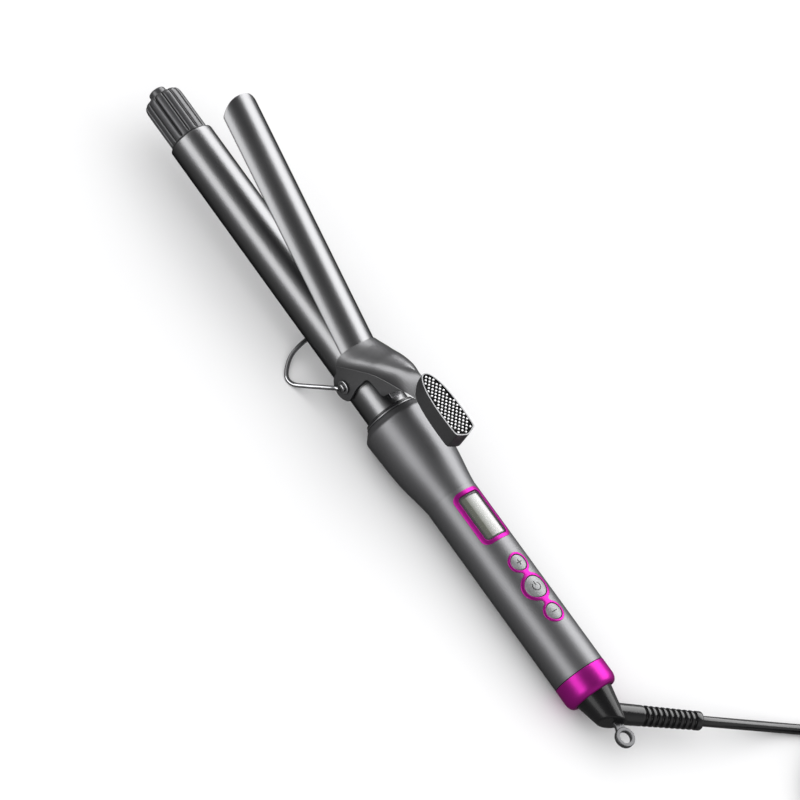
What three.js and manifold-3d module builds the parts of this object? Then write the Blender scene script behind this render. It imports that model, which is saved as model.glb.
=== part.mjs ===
// Curling iron: a ribbed cool tip on a 25 mm heated barrel, a spring-closed clamp on two pivot screws,
// a wire stand on the same screws, a flared handle with a display and three keys, and a swivelling tail
// with its hanging loop, strain relief and mains lead.
// Millimetres. The iron is drawn in its own frame: x runs along the barrel axis from the barrel's front
// edge to the tail, z is the clamp side, and y completes the frame. A group then tips it about Y so that
// it rests on the corners of the wire stand and on the end band, which puts the table at z = 0.
import * as THREE from "three";
import { mergeVertices } from "three/addons/utils/BufferGeometryUtils.js";
import Module from "manifold-3d";

const wasm = await Module();
wasm.setup();

// ---- driving dimensions -------------------------------------------------------------------------
const GAP = 0.3; // between pieces that touch
const BARREL_R = 12.5; // 25 mm barrel
const BARREL_WALL = 1.0;
const BARREL_END = 199; // the barrel's rear end, inside the handle
const TIP_LENGTH = 28; // ribbed cool tip ahead of the barrel
const TIP_R = 10.9;
const TIP_RIBS = 14;
const KNOB_R = 4.8;
const KNOB_LENGTH = 5;
const PIVOT_X = 158.5; // clamp and stand pivot
const PIVOT_Z = 1.2;
const CLAMP_OPEN = 15.9; // degrees, the clamp's angle as drawn
const TONGUE_IN = 12.8;
const TONGUE_OUT = 13.6;
const TONGUE_HALF = 58; // degrees
const TONGUE_FRONT = 2.0;
const EAR_WALL = 1.4;
const EAR_R = 7.8;
const HANDLE_R = 14.3;
const KEYS = [284.2, 299.0, 314.3]; // plus, power, minus
const BAND_X1 = 358.8;
const CONE_R0 = 10.45;
const CONE_SLOPE = 4 / 18.5;
const CONE_X0 = 357.5;
const FACE_X = 375.6; // where the cone's slanted end face meets the axis
const ELBOW_X = 369.2; // where the strain relief's centre line meets the axis
const RELIEF_DIR = new THREE.Vector3(0.5312, 0.8472, 0).normalize();
const RELIEF_END = 53; // along the strain relief's centre line, from the iron's axis
const RELIEF_R0 = 5.45;
const RELIEF_R1 = 4.8;
const LOOP_X = 384.5;
const LOOP_OUT = 5.3;
const LOOP_IN = 3.2;
const LOOP_THICK = 2.4;
const CORD_R = 2.75; // 5.5 mm lead
const COIL_X = 305.31; // the coil's middle on the table
const COIL_Y = 114.6;
const COIL_U = [0.84428, -0.5359];
const COIL_IN = 21.65;
const COIL_OUT = 43.95;
const PLUG_Z = 19.15;
const PIN_Y = 9.3;
const TILT = 0.02937; // radians that the iron is tipped by on its stand
const SHIFT_X = -178.3; // puts the box's middle at x = 0
const SHIFT_Z = 24.75; // puts the lowest points on z = 0

// ---- helpers ------------------------------------------------------------------------------------
const deg = (a) => (a * Math.PI) / 180;

function toSolid(geometry) {
  let g = geometry.clone();
  for (const name of Object.keys(g.attributes))
    if (name !== "position") g.deleteAttribute(name);
  g = mergeVertices(g, 1e-4);
  const tri = new Uint32Array(g.index.array);
  const p = g.attributes.position.array;
  let volume = 0;
  for (let i = 0; i < tri.length; i += 3) {
    const [a, b, c] = [tri[i] * 3, tri[i + 1] * 3, tri[i + 2] * 3];
    volume +=
      p[a] * (p[b + 1] * p[c + 2] - p[b + 2] * p[c + 1]) +
      p[a + 1] * (p[b + 2] * p[c] - p[b] * p[c + 2]) +
      p[a + 2] * (p[b] * p[c + 1] - p[b + 1] * p[c]);
  }
  if (volume < 0)
    for (let i = 0; i < tri.length; i += 3)
      [tri[i + 1], tri[i + 2]] = [tri[i + 2], tri[i + 1]];
  return new wasm.Manifold(
    new wasm.Mesh({
      numProp: 3,
      vertProperties: new Float32Array(p),
      triVerts: tri,
    }),
  );
}

function toGeometry(solid) {
  const m = solid.getMesh();
  const v = new Float32Array(m.numVert * 3);
  for (let i = 0; i < m.numVert; i++)
    v.set(m.vertProperties.subarray(i * m.numProp, i * m.numProp + 3), i * 3);
  const g = new THREE.BufferGeometry()
    .setAttribute("position", new THREE.BufferAttribute(v, 3))
    .setIndex(new THREE.BufferAttribute(new Uint32Array(m.triVerts), 1));
  g.computeVertexNormals();
  return g;
}

// A body of revolution about the x axis from [x, r] points; closed rings repeat the first point.
function turned(profile, segments = 40, closed = false) {
  const pts = profile.map(([x, r]) => new THREE.Vector2(r, x));
  if (closed) pts.push(pts[0].clone());
  return toSolid(
    new THREE.LatheGeometry(pts, segments).rotateZ(-Math.PI / 2),
  );
}

function box(x0, x1, y0, y1, z0, z1) {
  return toSolid(
    new THREE.BoxGeometry(x1 - x0, y1 - y0, z1 - z0).translate(
      (x0 + x1) / 2,
      (y0 + y1) / 2,
      (z0 + z1) / 2,
    ),
  );
}

function shapeOf(points) {
  return new THREE.Shape(points.map(([a, b]) => new THREE.Vector2(a, b)));
}

// A plan outline in x and y, raised from z0 to z1.
function raised(points, z0, z1, holes = []) {
  const s = shapeOf(points);
  for (const h of holes)
    s.holes.push(new THREE.Path(h.map(([a, b]) => new THREE.Vector2(a, b))));
  return toSolid(
    new THREE.ExtrudeGeometry(s, {
      depth: z1 - z0,
      bevelEnabled: false,
    }).translate(0, 0, z0),
  );
}

// A side outline in x and z, swept across from y0 to y1.
function across(points, y0, y1) {
  return toSolid(
    new THREE.ExtrudeGeometry(shapeOf(points), {
      depth: y1 - y0,
      bevelEnabled: false,
    })
      .rotateX(Math.PI / 2)
      .translate(0, y1, 0),
  );
}

// An end outline in y and z, swept along from x0 to x1.
function along(points, x0, x1) {
  return toSolid(
    new THREE.ExtrudeGeometry(shapeOf(points), {
      depth: x1 - x0,
      bevelEnabled: false,
    }).applyMatrix4(
      new THREE.Matrix4().set(0, 0, 1, x0, 1, 0, 0, 0, 0, 1, 0, 0, 0, 0, 0, 1),
    ),
  );
}

function cylinder(r, length, segments = 24) {
  return new THREE.CylinderGeometry(r, r, length, segments);
}
const cylY = (x, z, r, y0, y1, n = 24) =>
  toSolid(cylinder(r, y1 - y0, n).translate(x, (y0 + y1) / 2, z));
const cylZ = (x, y, r, z0, z1, n = 24) =>
  toSolid(
    cylinder(r, z1 - z0, n)
      .rotateX(Math.PI / 2)
      .translate(x, y, (z0 + z1) / 2),
  );

function circlePts(cx, cy, r, n) {
  const out = [];
  for (let i = 0; i < n; i++)
    out.push([
      cx + r * Math.cos((2 * Math.PI * i) / n),
      cy + r * Math.sin((2 * Math.PI * i) / n),
    ]);
  return out;
}

function roundedRect(x0, x1, y0, y1, r, n = 5) {
  const out = [];
  for (const [cx, cy, a0] of [
    [x1 - r, y1 - r, 0],
    [x0 + r, y1 - r, 90],
    [x0 + r, y0 + r, 180],
    [x1 - r, y0 + r, 270],
  ])
    for (let i = 0; i <= n; i++) {
      const a = deg(a0 + (90 * i) / n);
      out.push([cx + r * Math.cos(a), cy + r * Math.sin(a)]);
    }
  return out;
}

function arcPts(r, a0, a1, n) {
  const out = [];
  for (let i = 0; i <= n; i++) {
    const a = deg(a0 + ((a1 - a0) * i) / n);
    out.push([r * Math.sin(a), r * Math.cos(a)]);
  }
  return out;
}

// A round wire or lead along a smooth curve through points.
function wire(points, r, sides, steps, tension = "catmullrom") {
  const path = new THREE.CatmullRomCurve3(
    points.map((p) => new THREE.Vector3(...p)),
    false,
    tension,
    0.5,
  );
  return toSolid(
    new THREE.ExtrudeGeometry(shapeOf(circlePts(0, 0, r, sides)), {
      steps,
      bevelEnabled: false,
      extrudePath: path,
    }),
  );
}

// A loft through closed loops of equal length, each a list of [x, y, z], capped at both ends.
function loft(loops, flat) {
  const n = loops[0].length;
  const position = [];
  for (const l of loops) for (const p of l) position.push(...p);
  const index = [];
  for (let s = 0; s + 1 < loops.length; s++)
    for (let i = 0; i < n; i++) {
      const j = (i + 1) % n;
      const [a, b, c, d] = [s * n + i, s * n + j, s * n + n + j, s * n + n + i];
      index.push(a, b, c, a, c, d);
    }
  // the side quads run a to b to c, so the caps follow the loop's own sense
  const first = loops[0].map((p) => new THREE.Vector2(p[flat[0]], p[flat[1]]));
  const last = loops.at(-1).map((p) => new THREE.Vector2(p[flat[0]], p[flat[1]]));
  for (const f of THREE.ShapeUtils.triangulateShape(first, [])) {
    const [a, b, c] = f;
    const forward = THREE.ShapeUtils.area([first[a], first[b], first[c]]) > 0;
    const ccw = THREE.ShapeUtils.area(first) > 0;
    if (forward === ccw) index.push(a, c, b);
    else index.push(a, b, c);
  }
  const base = (loops.length - 1) * n;
  for (const f of THREE.ShapeUtils.triangulateShape(last, [])) {
    const [a, b, c] = f;
    const forward = THREE.ShapeUtils.area([last[a], last[b], last[c]]) > 0;
    const ccw = THREE.ShapeUtils.area(last) > 0;
    if (forward === ccw) index.push(base + a, base + b, base + c);
    else index.push(base + a, base + c, base + b);
  }
  const g = new THREE.BufferGeometry()
    .setAttribute(
      "position",
      new THREE.BufferAttribute(new Float32Array(position), 3),
    )
    .setIndex(index);
  return toSolid(g);
}

function at(solid, matrix) {
  const g = toGeometry(solid).applyMatrix4(matrix);
  return toSolid(g);
}

const finishes = {
  barrel: { color: 0x8a8b8e, metalness: 0.9, roughness: 0.38 },
  lever: { color: 0x7c7d80, metalness: 0.85, roughness: 0.42 },
  handle: { color: 0x55565a, metalness: 0.6, roughness: 0.45 },
  tip: { color: 0x4a4b4e, metalness: 0.1, roughness: 0.5 },
  magenta: { color: 0xc82daa, metalness: 0.75, roughness: 0.32 },
  chrome: { color: 0xc9cbcf, metalness: 1.0, roughness: 0.12 },
  black: { color: 0x141416, metalness: 0.0, roughness: 0.3 },
  rubber: { color: 0x101012, metalness: 0.0, roughness: 0.7 },
  key: { color: 0xb4b6b9, metalness: 0.4, roughness: 0.45 },
  lens: { color: 0xe8ece8, metalness: 0.0, roughness: 0.08 },
  lcd: { color: 0xb9c0ab, metalness: 0.0, roughness: 0.4 },
  board: { color: 0x1e6b3a, metalness: 0.0, roughness: 0.5 },
  part: { color: 0x222326, metalness: 0.0, roughness: 0.5 },
  ceramic: { color: 0xe9e6dc, metalness: 0.0, roughness: 0.7 },
  aluminium: { color: 0xc2c5c8, metalness: 0.9, roughness: 0.45 },
  brass: { color: 0xc9a24a, metalness: 0.95, roughness: 0.3 },
  steel: { color: 0x9a9ca0, metalness: 0.95, roughness: 0.3 },
  white: { color: 0xe4e2da, metalness: 0.0, roughness: 0.6 },
};

const root = new THREE.Group();
const iron = new THREE.Group();
iron.rotation.y = TILT;
iron.position.set(SHIFT_X, 0, SHIFT_Z);
root.add(iron);

function add(name, solid, finish, group = iron) {
  const mesh = new THREE.Mesh(
    toGeometry(solid),
    new THREE.MeshStandardMaterial(finishes[finish]),
  );
  mesh.name = name;
  group.add(mesh);
  return mesh;
}

// ---- cool tip -----------------------------------------------------------------------------------
{
  const outline = [];
  const per = 3;
  for (let i = 0; i < TIP_RIBS * per; i++) {
    const a = (2 * Math.PI * i) / (TIP_RIBS * per);
    const u = (i % per) / per; // 0 in a groove's middle
    const rib = Math.sqrt(Math.max(0, 1 - (2 * u - 1) ** 2));
    outline.push([
      (TIP_R - 1.15 + 1.15 * rib) * Math.cos(a),
      (TIP_R - 1.15 + 1.15 * rib) * Math.sin(a),
    ]);
  }
  const ribbed = along(outline, -TIP_LENGTH, -GAP).intersect(
    turned(
      [
        [-TIP_LENGTH, 0],
        [-TIP_LENGTH, TIP_R - 2.2],
        [-TIP_LENGTH + 1.2, TIP_R - 0.7],
        [-TIP_LENGTH + 3, TIP_R + 0.1],
        [0, TIP_R + 0.1],
        [0, 0],
      ],
      36,
    ),
  );
  const core = turned(
    [
      [-TIP_LENGTH - KNOB_LENGTH, 0],
      [-TIP_LENGTH - KNOB_LENGTH, KNOB_R - 0.9],
      [-TIP_LENGTH - KNOB_LENGTH + 0.3, KNOB_R - 0.35],
      [-TIP_LENGTH - KNOB_LENGTH + 0.9, KNOB_R],
      [-TIP_LENGTH + 1, KNOB_R],
      [-TIP_LENGTH + 1, TIP_R - 2.4],
      [-2, TIP_R - 2.4],
      [-2, TIP_R - 0.6],
      [8, TIP_R - 0.6],
      [8, 0],
    ],
    36,
  );
  add("cool_tip", ribbed.add(core), "tip");
}

// ---- barrel and what it holds -------------------------------------------------------------------
{
  const R = BARREL_R;
  const r = BARREL_R - BARREL_WALL;
  const tube = turned(
    [
      [0, r + 0.05],
      [0, R - 0.75],
      [0.25, R - 0.3],
      [0.75, R],
      [BARREL_END, R],
      [BARREL_END, r],
      [0.3, r],
    ],
    40,
    true,
  );
  add(
    "barrel_tube",
    tube.subtract(cylY(PIVOT_X, PIVOT_Z, 1.8, -20, 20, 16)),
    "barrel",
  );
}
function halfSpreader(sign) {
  // a D of aluminium with its flat on the heater and an open channel under the crown
  const a = 81;
  const pts = arcPts(11.1, -a, a, 14).map((p) => [p[0], p[1] * sign]);
  return along(pts, 14, 138).subtract(
    along(
      [
        ...arcPts(9.2, -56, 56, 8).map((p) => [p[0], p[1] * sign]),
        [5.6, 3.4 * sign],
        [-5.6, 3.4 * sign],
      ],
      10,
      142,
    ),
  );
}
add("heat_spreader_upper", halfSpreader(1), "aluminium");
add("heat_spreader_lower", halfSpreader(-1), "aluminium");
add("ptc_heater", box(30, 120, -7, 7, -1.3, 1.3), "ceramic");
add("thermistor", cylZ(126, 0, 1.2, -1.2, 1.2, 12), "ceramic");
add("thermal_fuse", toSolid(cylinder(2.0, 12, 14).rotateZ(Math.PI / 2).translate(148, 0, -3)), "steel");
add("heater_lead_live", wire([[139, -3.4, 0], [160, -3.4, 1.5], [190, -3.4, 1.5], [216, -3.4, 1.2]], 0.9, 8, 14), "white");
add("heater_lead_neutral", wire([[139, 3.4, 0], [160, 3.4, 1.5], [190, 3.4, 1.5], [216, 3.4, 1.2]], 0.9, 8, 14), "part");

// ---- pivot screws and their nuts ----------------------------------------------------------------
for (const [side, s] of [
  ["near", -1],
  ["far", 1],
]) {
  const body = new THREE.LatheGeometry(
    [
      [0, 9.6],
      [1.5, 9.6],
      [1.5, 16.05],
      [2.3, 16.05],
      [2.3, 16.6],
      [2.0, 17.1],
      [1.1, 17.35],
      [0, 17.4],
    ].map(([a, b]) => new THREE.Vector2(a, b)),
    20,
  );
  if (s < 0) body.rotateX(Math.PI);
  let screw = toSolid(body.translate(PIVOT_X, 0, PIVOT_Z));
  for (const [dx, dz] of [
    [1.4, 0.3],
    [0.3, 1.4],
  ])
    screw = screw.subtract(
      toSolid(
        new THREE.BoxGeometry(2 * dx, 1.6, 2 * dz)
          .rotateY(0.5)
          .translate(PIVOT_X, s * 17.5, PIVOT_Z),
      ),
    );
  add("pivot_screw_" + side, screw, "chrome");
  const nut = toSolid(
    new THREE.CylinderGeometry(3.2, 3.2, 2.3, 6).translate(PIVOT_X, s * 8.95, PIVOT_Z),
  ).subtract(cylY(PIVOT_X, PIVOT_Z, 1.8, s * 8.95 - 3, s * 8.95 + 3, 16));
  add("pivot_nut_" + side, nut, "steel");
}

// ---- clamp --------------------------------------------------------------------------------------
const clamp = new THREE.Group(); // drawn open, in the iron's frame
iron.add(clamp);
const opened = new THREE.Matrix4()
  .makeTranslation(PIVOT_X, 0, PIVOT_Z)
  .multiply(new THREE.Matrix4().makeRotationY(deg(CLAMP_OPEN)))
  .multiply(new THREE.Matrix4().makeTranslation(-PIVOT_X, 0, -PIVOT_Z));
{
  // the tongue, drawn closed round the barrel, with a rounded front and a slight taper to it
  const ring = [
    ...arcPts(TONGUE_OUT, -TONGUE_HALF, TONGUE_HALF, 18),
    ...arcPts(TONGUE_IN, TONGUE_HALF, -TONGUE_HALF, 18),
  ];
  const plan = [];
  const half = 13.2;
  const nose = 15; // length of the rounded nose
  for (let i = 0; i <= 18; i++) {
    const a = deg(90 + (180 * i) / 18);
    plan.push([
      TONGUE_FRONT + nose + nose * Math.cos(a),
      half * Math.sign(Math.sin(a)) * Math.abs(Math.sin(a)) ** 0.8,
    ]);
  }
  plan.push([151, -half], [151, half]);
  const tongue = along(ring, 0, 151).intersect(raised(plan, 0, 20));
  add("clamp_tongue", at(tongue, opened), "barrel", clamp);
}

// Lever: hood, cheeks and arm as one lofted channel, with the thumb block at its end.
const HOOD = [
  // x, cheek half width, cheek height, crease half width, crease height, top height
  [145.6, 14.6, 2.6, 14.6, 4.2, 17.7],
  [148, 14.6, 2.8, 14.5, 5.9, 18.9],
  [151, 14.6, 3.0, 14.2, 8.6, 20.6],
  [154, 14.6, 3.0, 13.5, 11.4, 22.7],
  [157, 14.6, 3.0, 12.6, 14.0, 24.9],
  [160, 14.6, 3.0, 11.8, 16.4, 27.3],
  [163, 14.5, 3.0, 11.0, 18.9, 29.8],
  [166.6, 14.4, 3.4, 10.2, 21.4, 32.1],
  [169.5, 12.9, 8.0, 9.5, 22.8, 33.8],
  [173, 11.1, 14.0, 8.5, 24.2, 35.8],
  [177, 9.3, 19.0, 7.6, 25.7, 37.6],
  [181.5, 7.7, 23.5, 6.8, 27.7, 39.2],
  [186, 6.6, 28.0, 6.3, 30.6, 40.5],
  [190, 6.0, 30.4, 6.0, 32.4, 41.0],
  [194, 5.6, 31.4, 5.6, 33.4, 41.0],
];
function hoodLoops(inset) {
  return HOOD.map(([x, cheek, low, yc, wc, top]) => {
    const half = [[cheek - inset, -12], [cheek - inset, low]];
    const n = 7;
    for (let i = 0; i <= n; i++) {
      const a = (Math.PI / 2) * (i / n);
      half.push([
        (yc - inset) * Math.cos(a) ** 0.95,
        wc + (top - inset - wc) * Math.sin(a) ** 0.95,
      ]);
    }
    half.at(-1)[0] = 0;
    return [
      ...half,
      ...half
        .slice(0, -1)
        .reverse()
        .map(([y, z]) => [-y, z]),
    ].map(([y, z]) => [x, y, z]);
  });
}
const PAD_TOP = 42.0;
const PAD = [
  // plan outline of the thumb block's near half: x, half width
  [182.6, 0],
  [183.0, 1.0],
  [184.2, 2.1],
  [186.4, 3.2],
  [190, 4.4],
  [195, 5.4],
  [200, 6.05],
  [206, 6.45],
  [213, 6.55],
  [219.6, 6.4],
  [220.7, 5.9],
  [221.1, 4.9],
];
function padOutline(inset) {
  const shrink = ([x, y]) => [
    182.6 + inset + ((x - 182.6) * (221.1 - 182.6 - 2 * inset)) / (221.1 - 182.6),
    (y * (6.55 - inset)) / 6.55,
  ];
  const half = PAD.map(shrink);
  return [
    ...half.map(([x, y]) => [x, -y]),
    ...half
      .slice(1)
      .reverse()
      .map(([x, y]) => [x, y]),
  ];
}
{
  const outer = loft(hoodLoops(0), [1, 2]);
  const innerLoops = hoodLoops(EAR_WALL);
  // the hollow runs out through the front and the bottom
  const first = innerLoops[0].map(([, y, z]) => [140, y, z - 4.0]);
  const last = innerLoops.at(-1).map(([, y, z]) => [194.5, y, z]);
  const inner = loft([first, ...innerLoops, last], [1, 2]).intersect(
    box(139, 187.5, -20, 20, -14, 60),
  );
  // side outline of hood, cheeks and arm
  const side = [];
  side.push([145.6, 60], [145.6, 11.5], [146.6, 8.6], [149.0, 4.6]);
  for (let i = 0; i <= 16; i++) {
    const a = deg(168 + (166 * i) / 16);
    side.push([PIVOT_X + EAR_R * Math.cos(a), PIVOT_Z + EAR_R * Math.sin(a)]);
  }
  side.push([165.0, 3.2], [164.0, 8], [164.2, 13.0]);
  for (let i = 0; i <= 5; i++) {
    const a = deg(180 - (90 * i) / 5);
    side.push([167.3 + 3.1 * Math.cos(a), 13.9 + 3.1 * Math.sin(a)]);
  }
  side.push(
    [174.0, 16.6],
    [176.6, 16.4],
    [177.6, 19.6],
    [179.3, 24.2],
    [181.6, 27.4],
    [184.6, 29.4],
    [189, 30.9],
    [194, 31.2],
    [194, 60],
  );
  // room for the tongue under the hood's thin front lip
  const lip = at(
    along([...arcPts(TONGUE_OUT + GAP, -70, 70, 20), [0, 4]], 130, 151.4),
    opened,
  );
  let lever = outer.subtract(inner).subtract(lip).intersect(across(side, -16, 16));
  const slope = across(
    [
      [182, 33.4],
      [188, 31.9],
      [195, 31.4],
      [221.5, 30.4],
      [222, PAD_TOP],
      [182, PAD_TOP],
    ],
    -10,
    10,
  );
  const block = raised(padOutline(0), 29, PAD_TOP).intersect(slope);
  lever = lever
    .add(block)
    .subtract(raised(padOutline(0.9), PAD_TOP - 1.3, PAD_TOP + 5))
    .subtract(cylY(PIVOT_X, PIVOT_Z, 1.85, -20, 20, 20));
  add("clamp_lever", lever, "lever", clamp);
  add(
    "thumb_grip",
    raised(padOutline(1.2), PAD_TOP - 1.0, PAD_TOP - 0.2),
    "rubber",
    clamp,
  );
  // two rivets that hold the tongue under the hood
  for (const [name, y] of [
    ["tongue_rivet_near", -5],
    ["tongue_rivet_far", 5],
  ]) {
    const rivet = cylZ(147.4, y, 1.7, 13.55, 14.7, 14);
    add(name, at(rivet, opened), "steel", clamp);
  }
}

// V-shaped leaf spring between the barrel and the lever's roof, and its saddle strap
{
  const leaf = [
    [158.6, 12.9],
    [178.5, 12.9],
    [178.5, 13.6],
    [159.4, 13.6],
    [159.0, 14.2],
    [159.3, 14.9],
    [171.4, 28.2],
    [173.6, 28.9],
    [173.4, 29.6],
    [170.9, 28.9],
    [158.5, 15.3],
    [158.0, 14.4],
    [158.1, 13.5],
  ];
  add("clamp_spring", across(leaf, -3, 3), "steel");
}

// ---- wire stand ---------------------------------------------------------------------------------
{
  const half = [
    [-2.5, 15.95, -2.6],
    [-4.2, 16.5, -6.0],
    [-9.0, 19.0, -10.9],
    [-13.8, 21.7, -15.6],
    [-18.6, 24.3, -20.2],
    [-21.0, 25.6, -20.9],
    [-23.4, 25.8, -21.0],
    [-26.0, 24.4, -21.0],
    [-30.0, 20.4, -20.6],
    [-33.4, 15.8, -19.6],
    [-35.6, 10.4, -18.0],
    [-36.6, 5.2, -16.2],
  ];
  const pts = [
    ...half.map(([x, y, z]) => [PIVOT_X + x, -y, PIVOT_Z + z]),
    [PIVOT_X - 36.9, 0, PIVOT_Z - 15.05],
    ...[...half].reverse().map(([x, y, z]) => [PIVOT_X + x, y, PIVOT_Z + z]),
  ];
  let bail = wire(pts, 1.0, 8, 44, "centripetal");
  for (const s of [-1, 1])
    bail = bail.add(
      cylY(PIVOT_X, PIVOT_Z, 3.8, s * 15.4 - 0.45, s * 15.4 + 0.45, 20),
    );
  bail = bail.subtract(cylY(PIVOT_X, PIVOT_Z, 1.8, -20, 20, 16));
  add("bail_stand", bail, "chrome");
}

// ---- collar between barrel and handle -----------------------------------------------------------
add(
  "insulating_ring",
  turned([[181.2, 12.8], [181.2, 13.7], [181.5, 14.0], [182.4, 14.0], [182.4, 12.8]], 32, true),
  "black",
);
add(
  "spacer_ring",
  turned([[182.7, 12.8], [182.7, 14.5], [183.0, 14.8], [183.5, 14.8], [183.5, 12.8]], 32, true),
  "lever",
);
add(
  "barrel_mount",
  turned(
    [[183.8, 12.8], [183.8, 14.2], [191.5, 14.2], [191.5, 15.2], [200, 15.2], [204, 14.4], [204, 6], [199.4, 6], [199.4, 12.8]],
    32,
    true,
  ),
  "black",
);

// ---- handle -------------------------------------------------------------------------------------
const PLAN_FRAME = roundedRect(238.3, 269.3, -9.35, 9.35, 4, 4);
function chain(r1, r2, neck) {
  // keyhole-shaped surround: three discs joined by necks, as one outline
  const [xa, xb, xc] = KEYS;
  return cylZ(xa, 0, r1, 0, 22, 24)
    .add(cylZ(xb, 0, r2, 0, 22, 28))
    .add(cylZ(xc, 0, r1, 0, 22, 24))
    .add(box(xa, xc, -neck / 2, neck / 2, 0, 22));
}
{
  const profile = [
    [183.8, 14.6],
    [183.8, 15.2],
    [184.6, 15.9],
    [186.5, 17.5],
    [187.4, 18.35],
    [188.2, 18.75],
    [190, 18.85],
    [195, 18.6],
    [205, 18.2],
    [213, 17.7],
    [218, 17.1],
    [223, 16.3],
    [228, 15.4],
    [232, 14.8],
    [236, HANDLE_R],
    [345.8, HANDLE_R],
    [345.8, 12.3],
    [238, 12.3],
    [226, 13.6],
    [214, 15.6],
    [188.8, 15.6],
    [187.6, 14.6],
  ];
  let shell = turned(profile, 40, true);
  shell = shell
    .subtract(raised(roundedRect(238.0, 269.6, -9.65, 9.65, 4.3, 4), 0, 22))
    .subtract(chain(6.2, 8.2, 4.4));
  add("handle_shell", shell, "handle");
}
const skin = (r0, r1, x0, x1) =>
  turned([[x0, r0], [x0, r1], [x1, r1], [x1, r0]], 48, true);
add(
  "display_frame",
  raised(PLAN_FRAME, 2, 22, [roundedRect(240.5, 267.2, -7.2, 7.2, 2.2, 4)]).intersect(
    skin(12.5, 14.5, 236, 274),
  ),
  "magenta",
);
add(
  "display_window",
  raised(roundedRect(240.8, 266.9, -6.9, 6.9, 1.9, 4), 2, 22).intersect(
    skin(12.7, 14.25, 236, 274),
  ),
  "lens",
);
add(
  "display_bezel",
  raised(roundedRect(240.8, 266.9, -6.4, 6.4, 1.4, 3), 8.6, 10.6, [
    roundedRect(242.6, 265.1, -5.1, 5.1, 0.6, 2),
  ]),
  "black",
);
add("lcd_module", box(242.9, 264.8, -4.8, 4.8, 6.4, 10.3), "lcd");
add(
  "button_surround",
  chain(5.9, 7.9, 3.8)
    .subtract(cylZ(KEYS[0], 0, 4.7, -2, 24, 24))
    .subtract(cylZ(KEYS[1], 0, 6.3, -2, 24, 24))
    .subtract(cylZ(KEYS[2], 0, 4.7, -2, 24, 24))
    .intersect(skin(12.5, 14.5, 270, 330)),
  "magenta",
);
for (const [name, x, r] of [
  ["button_plus", KEYS[0], 4.4],
  ["button_power", KEYS[1], 6.0],
  ["button_minus", KEYS[2], 4.4],
]) {
  const cap = cylZ(x, 0, r, 10.2, 20, 24).intersect(
    turned([[x - 9, 0], [x - 9, 14.3], [x - 3, 14.75], [x + 3, 14.75], [x + 9, 14.3], [x + 9, 0]], 48),
  );
  const flange = cylZ(x, 0, r + 0.7, 9.3, 10.4, 20);
  add(name, cap.add(flange), "key");
}
for (const [name, x] of [
  ["switch_plus", KEYS[0]],
  ["switch_power", KEYS[1]],
  ["switch_minus", KEYS[2]],
])
  add(
    name,
    box(x - 3, x + 3, -3, 3, 4.3, 7.2).add(cylZ(x, 0, 1.6, 7, 8.5, 16)),
    "part",
  );
{
  const board = box(238, 328, -9.4, 9.4, 2.4, 4.0)
    .subtract(cylZ(274.5, -7, 1.2, 0, 6, 12))
    .subtract(cylZ(322.5, 7, 1.2, 0, 6, 12));
  add("control_board", board, "board");
}
add("relay", box(246, 262, -5, 5, -6.8, 2.1), "part");
add("capacitor", toSolid(cylinder(4, 13, 20).rotateZ(Math.PI / 2).translate(292, -3.2, -2.3)), "part");
add("triac", box(304, 314, -2.4, 2.4, -6.6, 2.1), "part");
{
  // lower half of the handle's inner frame, with two bosses under the board
  const half = arcPts(11.9, 100, 260, 14);
  const inner = arcPts(10.5, 260, 100, 14);
  let frame = along([...half, ...inner], 237, 337);
  for (const [x, y] of [
    [274.5, -7],
    [322.5, 7],
  ])
    frame = frame.add(
      cylZ(x, y, 2.6, -9.0, 2.1, 16)
        .intersect(turned([[240, 0], [240, 11.8], [336, 11.8], [336, 0]], 32))
        .subtract(cylZ(x, y, 1.35, -4, 3, 12)),
    );
  add("inner_frame", frame, "part");
  for (const [name, x, y] of [
    ["board_screw_front", 274.5, -7],
    ["board_screw_rear", 322.5, 7],
  ])
    add(
      name,
      cylZ(x, y, 1.0, -3, 4.4, 12).add(cylZ(x, y, 2.0, 4.3, 5.6, 16)),
      "steel",
    );
}

// ---- end band and swivel ------------------------------------------------------------------------
add(
  "end_band",
  turned(
    [
      [339, 11.3],
      [339, 12.0],
      [345.6, 12.0],
      [346.1, 12.6],
      [346.1, HANDLE_R + 0.05],
      [354.6, HANDLE_R + 0.05],
      [356.5, 13.9],
      [358.0, 13.1],
      [BAND_X1, 12.1],
      [BAND_X1, 10.8],
      [357.2, 10.8],
      [357.2, 11.3],
    ],
    36,
    true,
  ),
  "magenta",
);
add(
  "swivel_retainer",
  turned([[351.4, 4.2], [351.4, 11.0], [354.3, 11.0], [354.3, 4.2]], 24, true),
  "white",
);
const cone = (grow, x1) =>
  turned(
    [
      [CONE_X0 - 2, 0],
      [CONE_X0 - 2, CONE_R0 + grow],
      [CONE_X0, CONE_R0 + grow],
      [x1, CONE_R0 - CONE_SLOPE * (x1 - CONE_X0) + grow],
      [x1, 0],
    ],
    36,
  );
const elbow = new THREE.Matrix4().makeBasis(
  RELIEF_DIR,
  new THREE.Vector3(-RELIEF_DIR.y, RELIEF_DIR.x, 0),
  new THREE.Vector3(0, 0, 1),
);
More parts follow.
